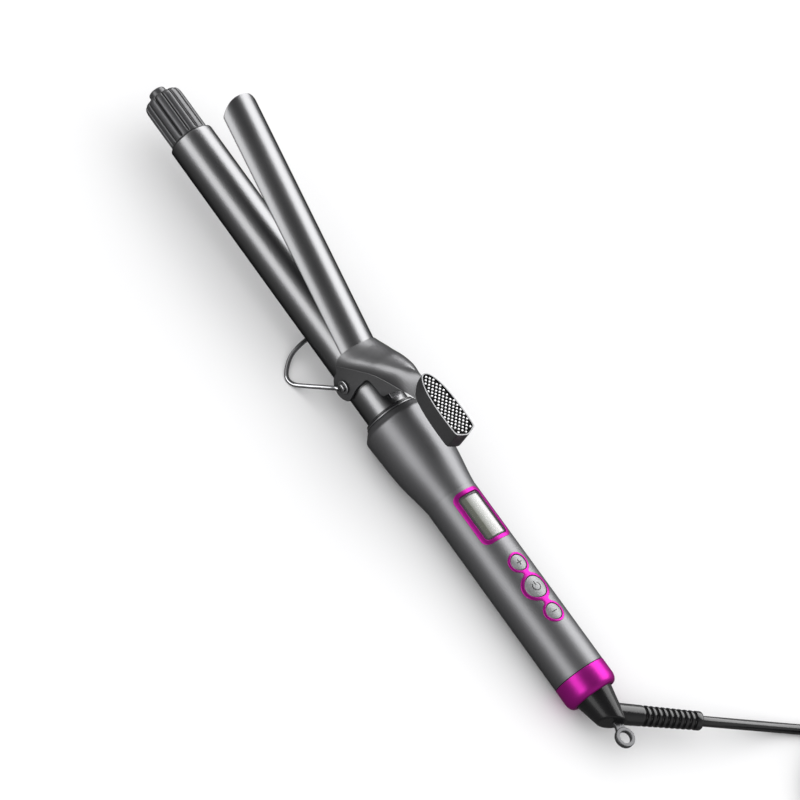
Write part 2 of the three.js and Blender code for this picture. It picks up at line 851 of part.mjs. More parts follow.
elbow.setPosition(ELBOW_X, 0, 0);
{
  const flange = turned([[354.6, 0], [354.6, 11.0], [356.9, 11.0], [356.9, 0]], 32);
  const hub = turned([[343, 0], [343, 3.0], [356, 3.0], [356, 0]], 16);
  // the slanted end runs along the strain relief's direction
  const cut = at(
    toSolid(new THREE.BoxGeometry(120, 60, 60).translate(0, -30 - (FACE_X - ELBOW_X) * RELIEF_DIR.y, 0)),
    elbow,
  );
  const bore = turned([[342, 0], [342, 1.9], [ELBOW_X - 1, 1.9], [ELBOW_X - 1, 0]], 16);
  const socket = at(turned([[-2.2, 0], [-2.2, 2.2], [20, 2.2], [20, 0]], 16), elbow);
  let body = cone(0, 384).subtract(cut).add(flange).add(hub);
  body = body.subtract(bore).subtract(socket);
  add("tail_swivel", body, "black");
}
add("slip_ring", turned([[344.5, 3.3], [344.5, 4.5], [348.5, 4.5], [348.5, 3.3]], 24, true), "brass");
add("contact_brush_upper", box(340, 349.5, -1.6, 1.6, 4.9, 5.6), "brass");
add("contact_brush_lower", box(340, 349.5, -1.6, 1.6, -5.6, -4.9), "brass");
{
  const ring = raised(circlePts(LOOP_X, 0, LOOP_OUT, 24), -LOOP_THICK / 2, LOOP_THICK / 2, [
    circlePts(LOOP_X, 0, LOOP_IN, 20),
  ]);
  const neck = raised(
    [[376.5, 0.4], [378.7, 3.6], [380.9, 3.0], [381.0, -1.2], [378.2, -1.0]],
    -LOOP_THICK / 2,
    LOOP_THICK / 2,
  );
  add("hanging_loop", ring.add(neck), "black");
}
{
  // strain relief: smooth collar, ten grooves, a plain end
  const p = [[2.5, 0], [2.5, 1.9], [7.4, 1.9], [7.4, RELIEF_R0]];
  const grooves = 10;
  const g0 = 19.2;
  const pitch = 3.15;
  for (let i = 0; i < grooves; i++) {
    const t = g0 + i * pitch;
    const r = RELIEF_R0 + ((RELIEF_R1 - RELIEF_R0) * (t - 10)) / (RELIEF_END - 10);
    p.push([t, r], [t, r - 1.2], [t + 1.6, r - 1.2], [t + 1.6, r]);
  }
  p.push([RELIEF_END - 0.9, RELIEF_R1 + 0.05], [RELIEF_END, RELIEF_R1 - 0.7], [RELIEF_END, 0]);
  const relief = at(turned(p, 12), elbow).subtract(
    cone(GAP, 388).subtract(
      at(turned([[-3, 0], [-3, 2.05], [20, 2.05], [20, 0]], 16), elbow),
    ),
  );
  add("strain_relief", relief, "black");
}

// ---- mains lead ---------------------------------------------------------------------------------
// It is drawn on the table, not in the tipped iron's frame: down from the strain relief, along the table
// and into a coil of two layers held by a tie, with the plug lying on the coil.
const LEAD = [
  [219.04, 45.16, 13.08],
  [220.62, 47.79, 12.97],
  [223.6, 53.08, 12.38],
  [227.12, 59.91, 11.13],
  [230.62, 67.08, 9.49],
  [234.11, 74.44, 7.68],
  [237.64, 81.8, 5.91],
  [241.21, 88.99, 4.38],
  [244.86, 95.84, 3.3],
  [248.61, 102.15, 2.9],
  [253.67, 110.13, 2.95],
  [258.73, 118.1, 3.1],
];
add("cord_lead", wire(LEAD, CORD_R, 10, 8, "centripetal"), "rubber", root);
const coilFrame = new THREE.Matrix4().makeBasis(
  new THREE.Vector3(COIL_U[0], COIL_U[1], 0),
  new THREE.Vector3(-COIL_U[1], COIL_U[0], 0),
  new THREE.Vector3(0, 0, 1),
);
coilFrame.setPosition(COIL_X, COIL_Y, 0);
{
  const ring = new THREE.LatheGeometry(
    [
      [COIL_IN, 1.9],
      [COIL_IN + 1, 0.9],
      [COIL_OUT - 1, 0.9],
      [COIL_OUT, 1.9],
      [COIL_OUT, 11.0],
      [COIL_OUT - 1, 12.0],
      [COIL_IN + 1, 12.0],
      [COIL_IN, 11.0],
      [COIL_IN, 1.9],
    ].map(([a, b]) => new THREE.Vector2(a, b)),
    36,
  ).rotateX(Math.PI / 2);
  add("cord_coil", at(toSolid(ring), coilFrame), "rubber", root);
  const strap = across(
    roundedRect(COIL_IN - 1.25, COIL_OUT + 1.0, 0, 12.9, 1.3, 3),
    -3,
    3,
  ).subtract(across(roundedRect(COIL_IN - 0.65, COIL_OUT + 0.4, 0.6, 12.3, 0.7, 3), -4, 4));
  add(
    "coil_tie",
    at(strap, coilFrame.clone().multiply(new THREE.Matrix4().makeRotationZ(deg(135)))),
    "rubber",
    root,
  );
  // over the coil from where the last turn has climbed on top, and round into the plug
  const tail = [];
  for (const a of [deg(194), deg(187), deg(180)])
    tail.push([38.4 * Math.cos(a), 38.4 * Math.sin(a), 15.1]);
  for (let i = 1; i <= 5; i++) {
    const t = i / 5;
    const a = deg(180 - 90 * t);
    tail.push([
      24 * Math.cos(a) - 14.4,
      24 * Math.sin(a),
      15.1 + (PLUG_Z - 15.1) * t * t * (3 - 2 * t),
    ]);
  }
  tail.push([-12.3, 24, PLUG_Z]);
  add("cord_tail", at(wire(tail, CORD_R, 10, 8, "centripetal"), coilFrame), "rubber", root);
  // flat two-pin plug, drawn with x towards its pins
  const plugFrame = coilFrame
    .clone()
    .multiply(new THREE.Matrix4().makeTranslation(-14, 24, PLUG_Z));
  const half = [[20, 8], [24, 12], [30, 15], [40, 16.8], [51, 17.6], [54, 17.0]];
  const outline = [...half, ...[...half].reverse().map(([x, y]) => [x, -y])];
  const body = raised(outline, -6.85, 6.85)
    .intersect(
      along(
        roundedRect(-17.7, 17.7, -6.85, 6.85, 5.2, 4),
        19,
        55,
      ),
    )
    .add(turned([[2, 0], [2, 3.6], [12, 4.3], [22, 5.5], [22, 0]], 20))
    .subtract(
      toSolid(cylinder(2.3, 9, 16).rotateZ(Math.PI / 2).translate(50.5, PIN_Y, 0)).add(
        toSolid(cylinder(2.3, 9, 16).rotateZ(Math.PI / 2).translate(50.5, -PIN_Y, 0)),
      ),
    );
  add("plug_body", at(body, plugFrame), "black", root);
  for (const [name, y] of [
    ["plug_pin_near", PIN_Y],
    ["plug_pin_far", -PIN_Y],
  ]) {
    const pin = turned([[46.4, 0], [46.4, 2], [72, 2], [73, 1.2], [73.2, 0]], 16).translate([0, y, 0]);
    add(name, at(pin, plugFrame), "steel", root);
  }
}

export default root;
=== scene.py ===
import math

import bpy
import bmesh
from mathutils import Matrix, Vector
from mathutils.geometry import delaunay_2d_cdt


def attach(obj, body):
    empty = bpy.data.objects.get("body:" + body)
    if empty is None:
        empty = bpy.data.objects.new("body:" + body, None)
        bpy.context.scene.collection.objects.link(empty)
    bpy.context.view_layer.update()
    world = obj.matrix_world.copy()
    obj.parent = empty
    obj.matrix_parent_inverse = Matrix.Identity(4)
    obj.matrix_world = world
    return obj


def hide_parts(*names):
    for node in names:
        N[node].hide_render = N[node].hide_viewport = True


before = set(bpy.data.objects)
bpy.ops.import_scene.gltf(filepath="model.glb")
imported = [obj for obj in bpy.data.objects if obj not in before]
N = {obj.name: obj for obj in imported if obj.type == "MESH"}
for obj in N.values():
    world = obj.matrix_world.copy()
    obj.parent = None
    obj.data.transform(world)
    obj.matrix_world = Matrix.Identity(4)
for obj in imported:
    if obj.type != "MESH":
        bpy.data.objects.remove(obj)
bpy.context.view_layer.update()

# ---------------------------------------------------------------- the iron's own frame
TILT = 0.02937
SHIFT_X = -178.3
SHIFT_Z = 24.75
PIVOT_X, PIVOT_Z = 158.5, 1.2
CLAMP_OPEN = math.radians(15.9)
BARREL_R = 12.5
HANDLE_R = 14.3
KEYS = (284.2, 299.0, 314.3)
ELBOW_X = 369.2
RELIEF_DIR = Vector((0.5312, 0.8472, 0)).normalized()
LOOP_X = 384.5
COIL_X, COIL_Y = 305.31, 114.6
COIL_U = (0.84428, -0.5359)
PLUG_Z = 19.15
PIN_Y = 9.3

IRON = Matrix.Translation((SHIFT_X, 0, SHIFT_Z)) @ Matrix.Rotation(TILT, 4, "Y")
MM = Matrix.Scale(0.001, 4)
TO_ROW = MM @ IRON
OPENED = Matrix.Translation((PIVOT_X, 0, PIVOT_Z)) @ Matrix.Rotation(CLAMP_OPEN, 4, "Y") @ Matrix.Translation((-PIVOT_X, 0, -PIVOT_Z))
COIL = MM @ Matrix(((COIL_U[0], -COIL_U[1], 0, COIL_X), (COIL_U[1], COIL_U[0], 0, COIL_Y), (0, 0, 1, 0), (0, 0, 0, 1)))
ELBOW = Matrix(((RELIEF_DIR.x, -RELIEF_DIR.y, 0, ELBOW_X), (RELIEF_DIR.y, RELIEF_DIR.x, 0, 0), (0, 0, 1, 0), (0, 0, 0, 1)))

# ---------------------------------------------------------------- camera
cam_data = bpy.data.cameras.new("camera")
cam = bpy.data.objects.new("camera", cam_data)
bpy.context.scene.collection.objects.link(cam)
right = Vector((0.58442, 0.719608, 0.37499)).normalized()
down = Vector((0.773165, -0.353544, -0.52652))
down = (down - right * down.dot(right)).normalized()
ahead = right.cross(down).normalized()
place = Matrix((right, -down, -ahead)).transposed().to_4x4()
place.translation = Vector((0.37724, -0.90721, 1.19123))
cam.matrix_world = place
cam_data.sensor_width = 36
cam_data.lens = 135
cam_data.clip_start = 0.05
cam_data.clip_end = 50
bpy.context.scene.camera = cam

# ---------------------------------------------------------------- materials
def nodes_of(name):
    m = bpy.data.materials.new(name)
    m.use_nodes = True
    t = m.node_tree
    return m, t, t.nodes["Principled BSDF"]


def material(name, color, rough, metal=0.0, dark=0.82, grain=900.0, bump=0.03, rough_var=0.06, stretch=(1, 1, 1), coat=0.0, coat_rough=0.1, spec=0.5, wear=None, blotch=30.0, edge=None):
    """A surface with a fine grain in its bump, a slow change in its colour and a smudged roughness."""
    m, t, b = nodes_of(name)
    n, l = t.nodes, t.links
    b.inputs["Metallic"].default_value = metal
    b.inputs["Coat Weight"].default_value = coat
    b.inputs["Coat Roughness"].default_value = coat_rough
    b.inputs["Specular IOR Level"].default_value = spec
    if edge:
        b.inputs["Specular Tint"].default_value = (*edge, 1)
    tc = n.new("ShaderNodeTexCoord")
    mp = n.new("ShaderNodeMapping")
    mp.inputs["Scale"].default_value = stretch
    l.new(tc.outputs["Object"], mp.inputs["Vector"])
    slow = n.new("ShaderNodeTexNoise")
    slow.inputs["Scale"].default_value = blotch
    slow.inputs["Detail"].default_value = 5
    l.new(tc.outputs["Object"], slow.inputs["Vector"])
    fine = n.new("ShaderNodeTexNoise")
    fine.inputs["Scale"].default_value = grain
    fine.inputs["Detail"].default_value = 3
    l.new(mp.outputs["Vector"], fine.inputs["Vector"])
    both = n.new("ShaderNodeMath")
    both.operation = "MULTIPLY_ADD"
    both.inputs[1].default_value = 0.5
    l.new(slow.outputs["Fac"], both.inputs[0])
    half = n.new("ShaderNodeMath")
    half.operation = "MULTIPLY"
    half.inputs[1].default_value = 0.5
    l.new(fine.outputs["Fac"], half.inputs[0])
    l.new(half.outputs[0], both.inputs[2])
    ramp = n.new("ShaderNodeValToRGB")
    e = ramp.color_ramp.elements
    e[0].position, e[1].position = 0.3, 0.7
    e[0].color = (color[0] * dark, color[1] * dark, color[2] * dark, 1)
    e[1].color = (min(1, color[0] * (2 - dark)), min(1, color[1] * (2 - dark)), min(1, color[2] * (2 - dark)), 1)
    l.new(both.outputs[0], ramp.inputs["Fac"])
    out = ramp.outputs["Color"]
    if wear:
        geo = n.new("ShaderNodeNewGeometry")
        rub = n.new("ShaderNodeMapRange")
        rub.inputs["From Min"].default_value = 0.53
        rub.inputs["From Max"].default_value = 0.62
        rub.inputs["To Max"].default_value = 0.6
        l.new(geo.outputs["Pointiness"], rub.inputs["Value"])
        mix = n.new("ShaderNodeMix")
        mix.data_type = "RGBA"
        mix.inputs["B"].default_value = (*wear, 1)
        l.new(rub.outputs["Result"], mix.inputs["Factor"])
        l.new(out, mix.inputs["A"])
        out = mix.outputs["Result"]
    l.new(out, b.inputs["Base Color"])
    r = n.new("ShaderNodeMapRange")
    r.inputs["From Min"].default_value = 0.3
    r.inputs["From Max"].default_value = 0.7
    r.inputs["To Min"].default_value = max(0.02, rough - rough_var)
    r.inputs["To Max"].default_value = min(1, rough + rough_var)
    l.new(both.outputs[0], r.inputs["Value"])
    l.new(r.outputs["Result"], b.inputs["Roughness"])
    bp = n.new("ShaderNodeBump")
    bp.inputs["Strength"].default_value = bump
    bp.inputs["Distance"].default_value = 0.0004
    l.new(fine.outputs["Fac"], bp.inputs["Height"])
    l.new(bp.outputs["Normal"], b.inputs["Normal"])
    return m


M = {}
M["barrel"] = material("barrel_metal", (0.145, 0.145, 0.148), 0.30, 1.0, dark=0.92, grain=1900, bump=0.12, rough_var=0.03, edge=(0.15, 0.15, 0.15))
M["lever"] = material("lever_metal", (0.128, 0.128, 0.131), 0.34, 0.9, dark=0.92, grain=2200, bump=0.10, rough_var=0.04, edge=(0.3, 0.3, 0.3))
M["pad_side"] = material("pad_side", (0.075, 0.075, 0.077), 0.45, 0.8, dark=0.85, grain=1700, bump=0.3, rough_var=0.05, edge=(0.2, 0.2, 0.2))
M["handle"] = material("handle_satin", (0.124, 0.124, 0.128), 0.43, 0.9, dark=0.93, grain=2600, bump=0.07, rough_var=0.03, edge=(0.2, 0.2, 0.2))
M["tip"] = material("tip_plastic", (0.045, 0.045, 0.047), 0.30, 0.5, dark=0.88, grain=1800, bump=0.08, rough_var=0.05)
M["magenta"] = material("accent_magenta", (0.255, 0.010, 0.168), 0.36, 0.75, dark=0.94, grain=2600, bump=0.05, rough_var=0.03, edge=(0.5, 0.1, 0.4))
M["screw"] = material("screw_steel", (0.24, 0.24, 0.245), 0.26, 1.0, dark=0.9, grain=1800, bump=0.06, rough_var=0.05, edge=(0.3, 0.3, 0.3))
M["chrome"] = material("stand_chrome", (0.33, 0.33, 0.34), 0.17, 1.0, dark=0.95, grain=1500, bump=0.02, rough_var=0.03, edge=(0.3, 0.3, 0.3))
M["black"] = material("gloss_black", (0.006, 0.006, 0.0063), 0.24, 0.0, dark=0.8, grain=1200, bump=0.01, rough_var=0.03, spec=0.2)
M["relief"] = material("relief_black", (0.006, 0.006, 0.0063), 0.2, 0.0, dark=0.8, grain=1500, bump=0.01, rough_var=0.03, spec=0.38)
M["loop"] = material("loop_gloss", (0.055, 0.055, 0.057), 0.26, 0.7, dark=0.85, grain=1500, bump=0.02, rough_var=0.05, spec=0.4)
M["cord"] = material("cord_sheath", (0.005, 0.005, 0.0053), 0.19, 0.0, dark=0.8, grain=1300, bump=0.015, rough_var=0.03, spec=0.45)
M["tie"] = material("tie_rubber", (0.03, 0.03, 0.032), 0.55, 0.0, dark=0.8, grain=900, bump=0.2, rough_var=0.08)
M["inset"] = material("thumb_inset", (0.002, 0.002, 0.002), 0.7, 0.0, dark=0.8, grain=1800, bump=0.1, spec=0.03)
M["dots"] = material("thumb_dots", (0.52, 0.52, 0.525), 0.36, 0.35, dark=0.92, grain=1800, bump=0.05, spec=0.3)
M["line"] = material("display_black", (0.002, 0.002, 0.002), 0.5, 0.0, dark=0.8, grain=1800, bump=0.03, spec=0.08)
M["key"] = material("key_grey", (0.165, 0.168, 0.171), 0.46, 0.5, dark=0.84, grain=2200, bump=0.25, rough_var=0.06, blotch=700, spec=0.3)
M["mark"] = material("key_mark", (0.02, 0.02, 0.021), 0.45, 0.0, dark=0.9, grain=2000, bump=0.05, spec=0.2)
M["ring_black"] = material("ring_black", (0.010, 0.010, 0.011), 0.28, 0.0, dark=0.8, grain=1500, bump=0.05, spec=0.3)
M["board"] = material("board_green", (0.02, 0.11, 0.045), 0.45, 0.0, dark=0.7, grain=500, bump=0.2, blotch=300)
M["inner_black"] = material("inner_black", (0.03, 0.03, 0.032), 0.5, 0.0, grain=1200, bump=0.1)
M["inner_white"] = material("inner_white", (0.70, 0.69, 0.65), 0.5, 0.0, dark=0.93, grain=1200, bump=0.1)
M["ceramic"] = material("ceramic", (0.80, 0.79, 0.74), 0.7, 0.0, dark=0.9, grain=1500, bump=0.3)
M["aluminium"] = material("spreader_aluminium", (0.62, 0.63, 0.65), 0.4, 1.0, dark=0.9, grain=1500, bump=0.1, stretch=(0.05, 1, 1))
M["steel"] = material("plated_steel", (0.50, 0.50, 0.52), 0.3, 1.0, dark=0.9, grain=1500, bump=0.1)
M["brass"] = material("contact_brass", (0.68, 0.48, 0.18), 0.3, 1.0, dark=0.9, grain=1500, bump=0.08)
M["nickel"] = material("pin_nickel", (0.66, 0.64, 0.60), 0.2, 1.0, dark=0.94, grain=1500, bump=0.05)


def lcd_material_with_painted_reflection():
    """The display's face: an olive strip along the side away from the light, and beyond it a painted reflection: the
    colour ramps from grey up to near white towards the lit side.
    """
    m, t, b = nodes_of("lcd_face")
    n, l = t.nodes, t.links
    tc = n.new("ShaderNodeTexCoord")
    sep = n.new("ShaderNodeSeparateXYZ")
    l.new(tc.outputs["Object"], sep.inputs["Vector"])
    noise = n.new("ShaderNodeTexNoise")
    noise.inputs["Scale"].default_value = 260
    l.new(tc.outputs["Object"], noise.inputs["Vector"])
    add = n.new("ShaderNodeMath")
    add.operation = "MULTIPLY_ADD"
    add.inputs[1].default_value = 0.0002
    l.new(noise.outputs["Fac"], add.inputs[0])
    l.new(sep.outputs["Y"], add.inputs[2])
    mr = n.new("ShaderNodeMapRange")
    mr.inputs["From Min"].default_value = -0.0058
    mr.inputs["From Max"].default_value = 0.0064
    l.new(add.outputs[0], mr.inputs["Value"])
    # painted reflection: this ramp runs from the olive strip through grey to near white across the face, standing in
    # for light on the glass
    ramp = n.new("ShaderNodeValToRGB")
    e = ramp.color_ramp.elements
    e[0].position, e[0].color = 0.0, (0.02, 0.02, 0.015, 1)
    e[1].position, e[1].color = 1.0, (0.55, 0.555, 0.545, 1)
    for p, c in ((0.06, (0.033, 0.037, 0.022, 1)), (0.27, (0.038, 0.042, 0.025, 1)), (0.31, (0.13, 0.136, 0.115, 1)), (0.45, (0.21, 0.216, 0.2, 1)), (0.65, (0.34, 0.345, 0.33, 1)), (0.82, (0.48, 0.485, 0.475, 1))):
        x = e.new(p)
        x.color = c
    l.new(mr.outputs["Result"], ramp.inputs["Fac"])
    l.new(ramp.outputs["Color"], b.inputs["Base Color"])
    b.inputs["Roughness"].default_value = 0.4
    b.inputs["Specular IOR Level"].default_value = 0.25
    bp = n.new("ShaderNodeBump")
    bp.inputs["Strength"].default_value = 0.04
    bp.inputs["Distance"].default_value = 0.0003
    l.new(noise.outputs["Fac"], bp.inputs["Height"])
    l.new(bp.outputs["Normal"], b.inputs["Normal"])
    return m


def glass_material():
    """A thin clear window: mostly see-through, with a gloss."""
    m, t, b = nodes_of("window_clear")
    n, l = t.nodes, t.links
    b.inputs["Alpha"].default_value = 0.07
    b.inputs["Specular IOR Level"].default_value = 1.0
    b.inputs["Coat Weight"].default_value = 0.0
    tc = n.new("ShaderNodeTexCoord")
    noise = n.new("ShaderNodeTexNoise")
    noise.inputs["Scale"].default_value = 90
    l.new(tc.outputs["Object"], noise.inputs["Vector"])
    mr = n.new("ShaderNodeMapRange")
    mr.inputs["To Min"].default_value = 0.18
    mr.inputs["To Max"].default_value = 0.24
    l.new(noise.outputs["Fac"], mr.inputs["Value"])
    l.new(mr.outputs["Result"], b.inputs["Roughness"])
    ramp = n.new("ShaderNodeValToRGB")
    ramp.color_ramp.elements[0].color = (0.30, 0.305, 0.30, 1)
    ramp.color_ramp.elements[1].color = (0.36, 0.36, 0.36, 1)
    l.new(noise.outputs["Fac"], ramp.inputs["Fac"])
    l.new(ramp.outputs["Color"], b.inputs["Base Color"])
    return m


# the display's face carries a painted reflection in its colour ramp
M["lcd"] = lcd_material_with_painted_reflection()
M["window"] = glass_material()

# ---------------------------------------------------------------- mesh helpers (millimetres, in the iron's frame)
def piece(name, verts, faces, mat, body, nodes=(), slot=None, to=TO_ROW, angle=35, recalc=True):
    me = bpy.data.meshes.new(name)
    me.from_pydata([tuple(v) for v in verts], [], faces)
    me.validate()
    if recalc:
        bm = bmesh.new()
        bm.from_mesh(me)
        bmesh.ops.recalc_face_normals(bm, faces=bm.faces)
        bm.to_mesh(me)
        bm.free()
    o = bpy.data.objects.new(name, me)
    bpy.context.scene.collection.objects.link(o)
    finish(o, mat, body, nodes, to, angle)
    return o


def finish(o, mat, body, nodes=(), to=TO_ROW, angle=35):
    o.data.transform(to)
    o.data.materials.clear()
    for one in mat if isinstance(mat, (list, tuple)) else [mat]:
        o.data.materials.append(M[one])
    o.data.polygons.foreach_set("use_smooth", [True] * len(o.data.polygons))
    o.data.set_sharp_from_angle(angle=math.radians(angle))
    if body is None:
        return o
    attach(o, body)
    if nodes:
        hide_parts(*nodes)
    return o


def raw(name, verts, faces):
    """A mesh object for a boolean: not shown, removed after it."""
    me = bpy.data.meshes.new(name)
    me.from_pydata([tuple(v) for v in verts], [], faces)
    bm = bmesh.new()
    bm.from_mesh(me)
    bmesh.ops.recalc_face_normals(bm, faces=bm.faces)
    bm.to_mesh(me)
    bm.free()
    o = bpy.data.objects.new(name, me)
    bpy.context.scene.collection.objects.link(o)
    return o


def boolean(o, tool, how):
    mod = o.modifiers.new("b", "BOOLEAN")
    mod.operation = how
    mod.object = tool
    mod.solver = "EXACT"
    bpy.context.view_layer.update()
    me = bpy.data.meshes.new_from_object(o.evaluated_get(bpy.context.evaluated_depsgraph_get()))
    o.modifiers.clear()
    old = o.data
    o.data = me
    bpy.data.meshes.remove(old)
    bpy.data.objects.remove(tool)
    return o


def soften(points, radius, n=4, closed=False):
    """Rounds each corner of a polyline."""
    out = []
    count = len(points)
    for i, p in enumerate(points):
        if not closed and i in (0, count - 1):
            out.append(tuple(p))
            continue
        p = Vector(p)
        a, b = Vector(points[i - 1]), Vector(points[(i + 1) % count])
        da, db = a - p, b - p
        r = min(radius, da.length * 0.45, db.length * 0.45)
        if r < 1e-4 or da.angle(db) > math.radians(176):
            out.append(tuple(p))
            continue
        s, e = p + da.normalized() * r, p + db.normalized() * r
        for k in range(n + 1):
            t = k / n
            out.append(tuple((1 - t) ** 2 * s + 2 * t * (1 - t) * p + t * t * e))
    return out


def smooth_line(points, per=6, closed=False):
    """A centripetal curve through points of any size."""
    pts = [Vector(p) for p in points]
    count = len(pts)
    out = []
    spans = count if closed else count - 1
    for i in range(spans):
        p1, p2 = pts[i], pts[(i + 1) % count]
        p0 = pts[i - 1] if closed or i else p1 + (p1 - p2)
        p3 = pts[(i + 2) % count] if closed or i + 2 < count else p2 + (p2 - p1)
        t0 = 0
        t1 = t0 + max((p1 - p0).length, 1e-6) ** 0.5
        t2 = t1 + max((p2 - p1).length, 1e-6) ** 0.5
        t3 = t2 + max((p3 - p2).length, 1e-6) ** 0.5
        for k in range(per):
            t = t1 + (t2 - t1) * k / per
            a1 = p0 * ((t1 - t) / (t1 - t0)) + p1 * ((t - t0) / (t1 - t0))
            a2 = p1 * ((t2 - t) / (t2 - t1)) + p2 * ((t - t1) / (t2 - t1))
            a3 = p2 * ((t3 - t) / (t3 - t2)) + p3 * ((t - t2) / (t3 - t2))
            b1 = a1 * ((t2 - t) / (t2 - t0)) + a2 * ((t - t0) / (t2 - t0))
            b2 = a2 * ((t3 - t) / (t3 - t1)) + a3 * ((t - t1) / (t3 - t1))
            out.append(tuple(b1 * ((t2 - t) / (t2 - t1)) + b2 * ((t - t1) / (t2 - t1))))
    if not closed:
        out.append(tuple(pts[-1]))
    return out


def lathe(profile, segs=144, closed=False):
    """About the x axis, from (x, r)."""
    verts, rings = [], []
    for x, r in profile:
        if abs(r) < 1e-6:
            rings.append([len(verts)])
            verts.append((x, 0, 0))
        else:
            rings.append(list(range(len(verts), len(verts) + segs)))
            for k in range(segs):
                a = 2 * math.pi * k / segs
                verts.append((x, r * math.sin(a), r * math.cos(a)))
    faces = []
    pairs = list(zip(rings, rings[1:])) + ([(rings[-1], rings[0])] if closed else [])
    for a, b in pairs:
        if len(a) == 1 and len(b) == 1:
            continue
        for k in range(segs):
            j = (k + 1) % segs
            if len(a) == 1:
                faces.append((a[0], b[k], b[j]))
            elif len(b) == 1:
                faces.append((a[k], b[0], a[j]))
            else:
                faces.append((a[k], b[k], b[j], a[j]))
    return verts, faces


def loft(loops, cap=True):
    n = len(loops[0])
    verts = [p for l in loops for p in l]
    faces = []
    for s in range(len(loops) - 1):
        for i in range(n):
            j = (i + 1) % n
            faces.append((s * n + i, s * n + j, (s + 1) * n + j, (s + 1) * n + i))
    if cap:
        faces.append(tuple(reversed(range(n))))
        faces.append(tuple(range((len(loops) - 1) * n, len(loops) * n)))
    return verts, faces


def merge(*parts):
    verts, faces = [], []
    for v, f in parts:
        base = len(verts)
        verts += list(v)
        faces += [tuple(i + base for i in face) for face in f]
    return verts, faces


def moved(part, m):
    v, f = part
    return [tuple(m @ Vector(p)) for p in v], f


def prism(points, lo, hi, axis):
    """A closed outline pushed along an axis: 'z' takes (x, y), 'y' takes (x, z), 'x' takes (y, z)."""
    def at(p, h):
        a, b = p
        return {"z": (a, b, h), "y": (a, h, b), "x": (h, a, b)}[axis]
    return loft([[at(p, lo) for p in points], [at(p, hi) for p in points]])


def rounded_rect(x0, x1, y0, y1, r, n=10):
    out = []
    for cx, cy, a0 in ((x1 - r, y1 - r, 0), (x0 + r, y1 - r, 90), (x0 + r, y0 + r, 180), (x1 - r, y0 + r, 270)):
        for i in range(n + 1):
            a = math.radians(a0 + 90 * i / n)
            out.append((cx + r * math.cos(a), cy + r * math.sin(a)))
    return out


def circle(cx, cy, r, n=48):
    return [(cx + r * math.cos(2 * math.pi * i / n), cy + r * math.sin(2 * math.pi * i / n)) for i in range(n)]


def dense(points, step):
    out = []
    for i, p in enumerate(points):
        q = points[(i + 1) % len(points)]
        d = math.dist(p, q)
        k = max(1, math.ceil(d / step))
        for j in range(k):
            out.append((p[0] + (q[0] - p[0]) * j / k, p[1] + (q[1] - p[1]) * j / k))
    return out


def inward(points, d):
    """A closed counter-clockwise outline moved in by d."""
    out = []
    n = len(points)
    for i in range(n):
        a, p, b = points[i - 1], points[i], points[(i + 1) % n]
        tx, ty = b[0] - a[0], b[1] - a[1]
        l = math.hypot(tx, ty) or 1
        out.append((p[0] - ty / l * d, p[1] + tx / l * d))
    return out


def on_handle(x, y, h):
    """A point over the handle's axis, at height h above the handle's surface, straight up from the plan point."""
    R = HANDLE_R + h
    return (x, y, math.sqrt(max(R * R - y * y, 0.01)))


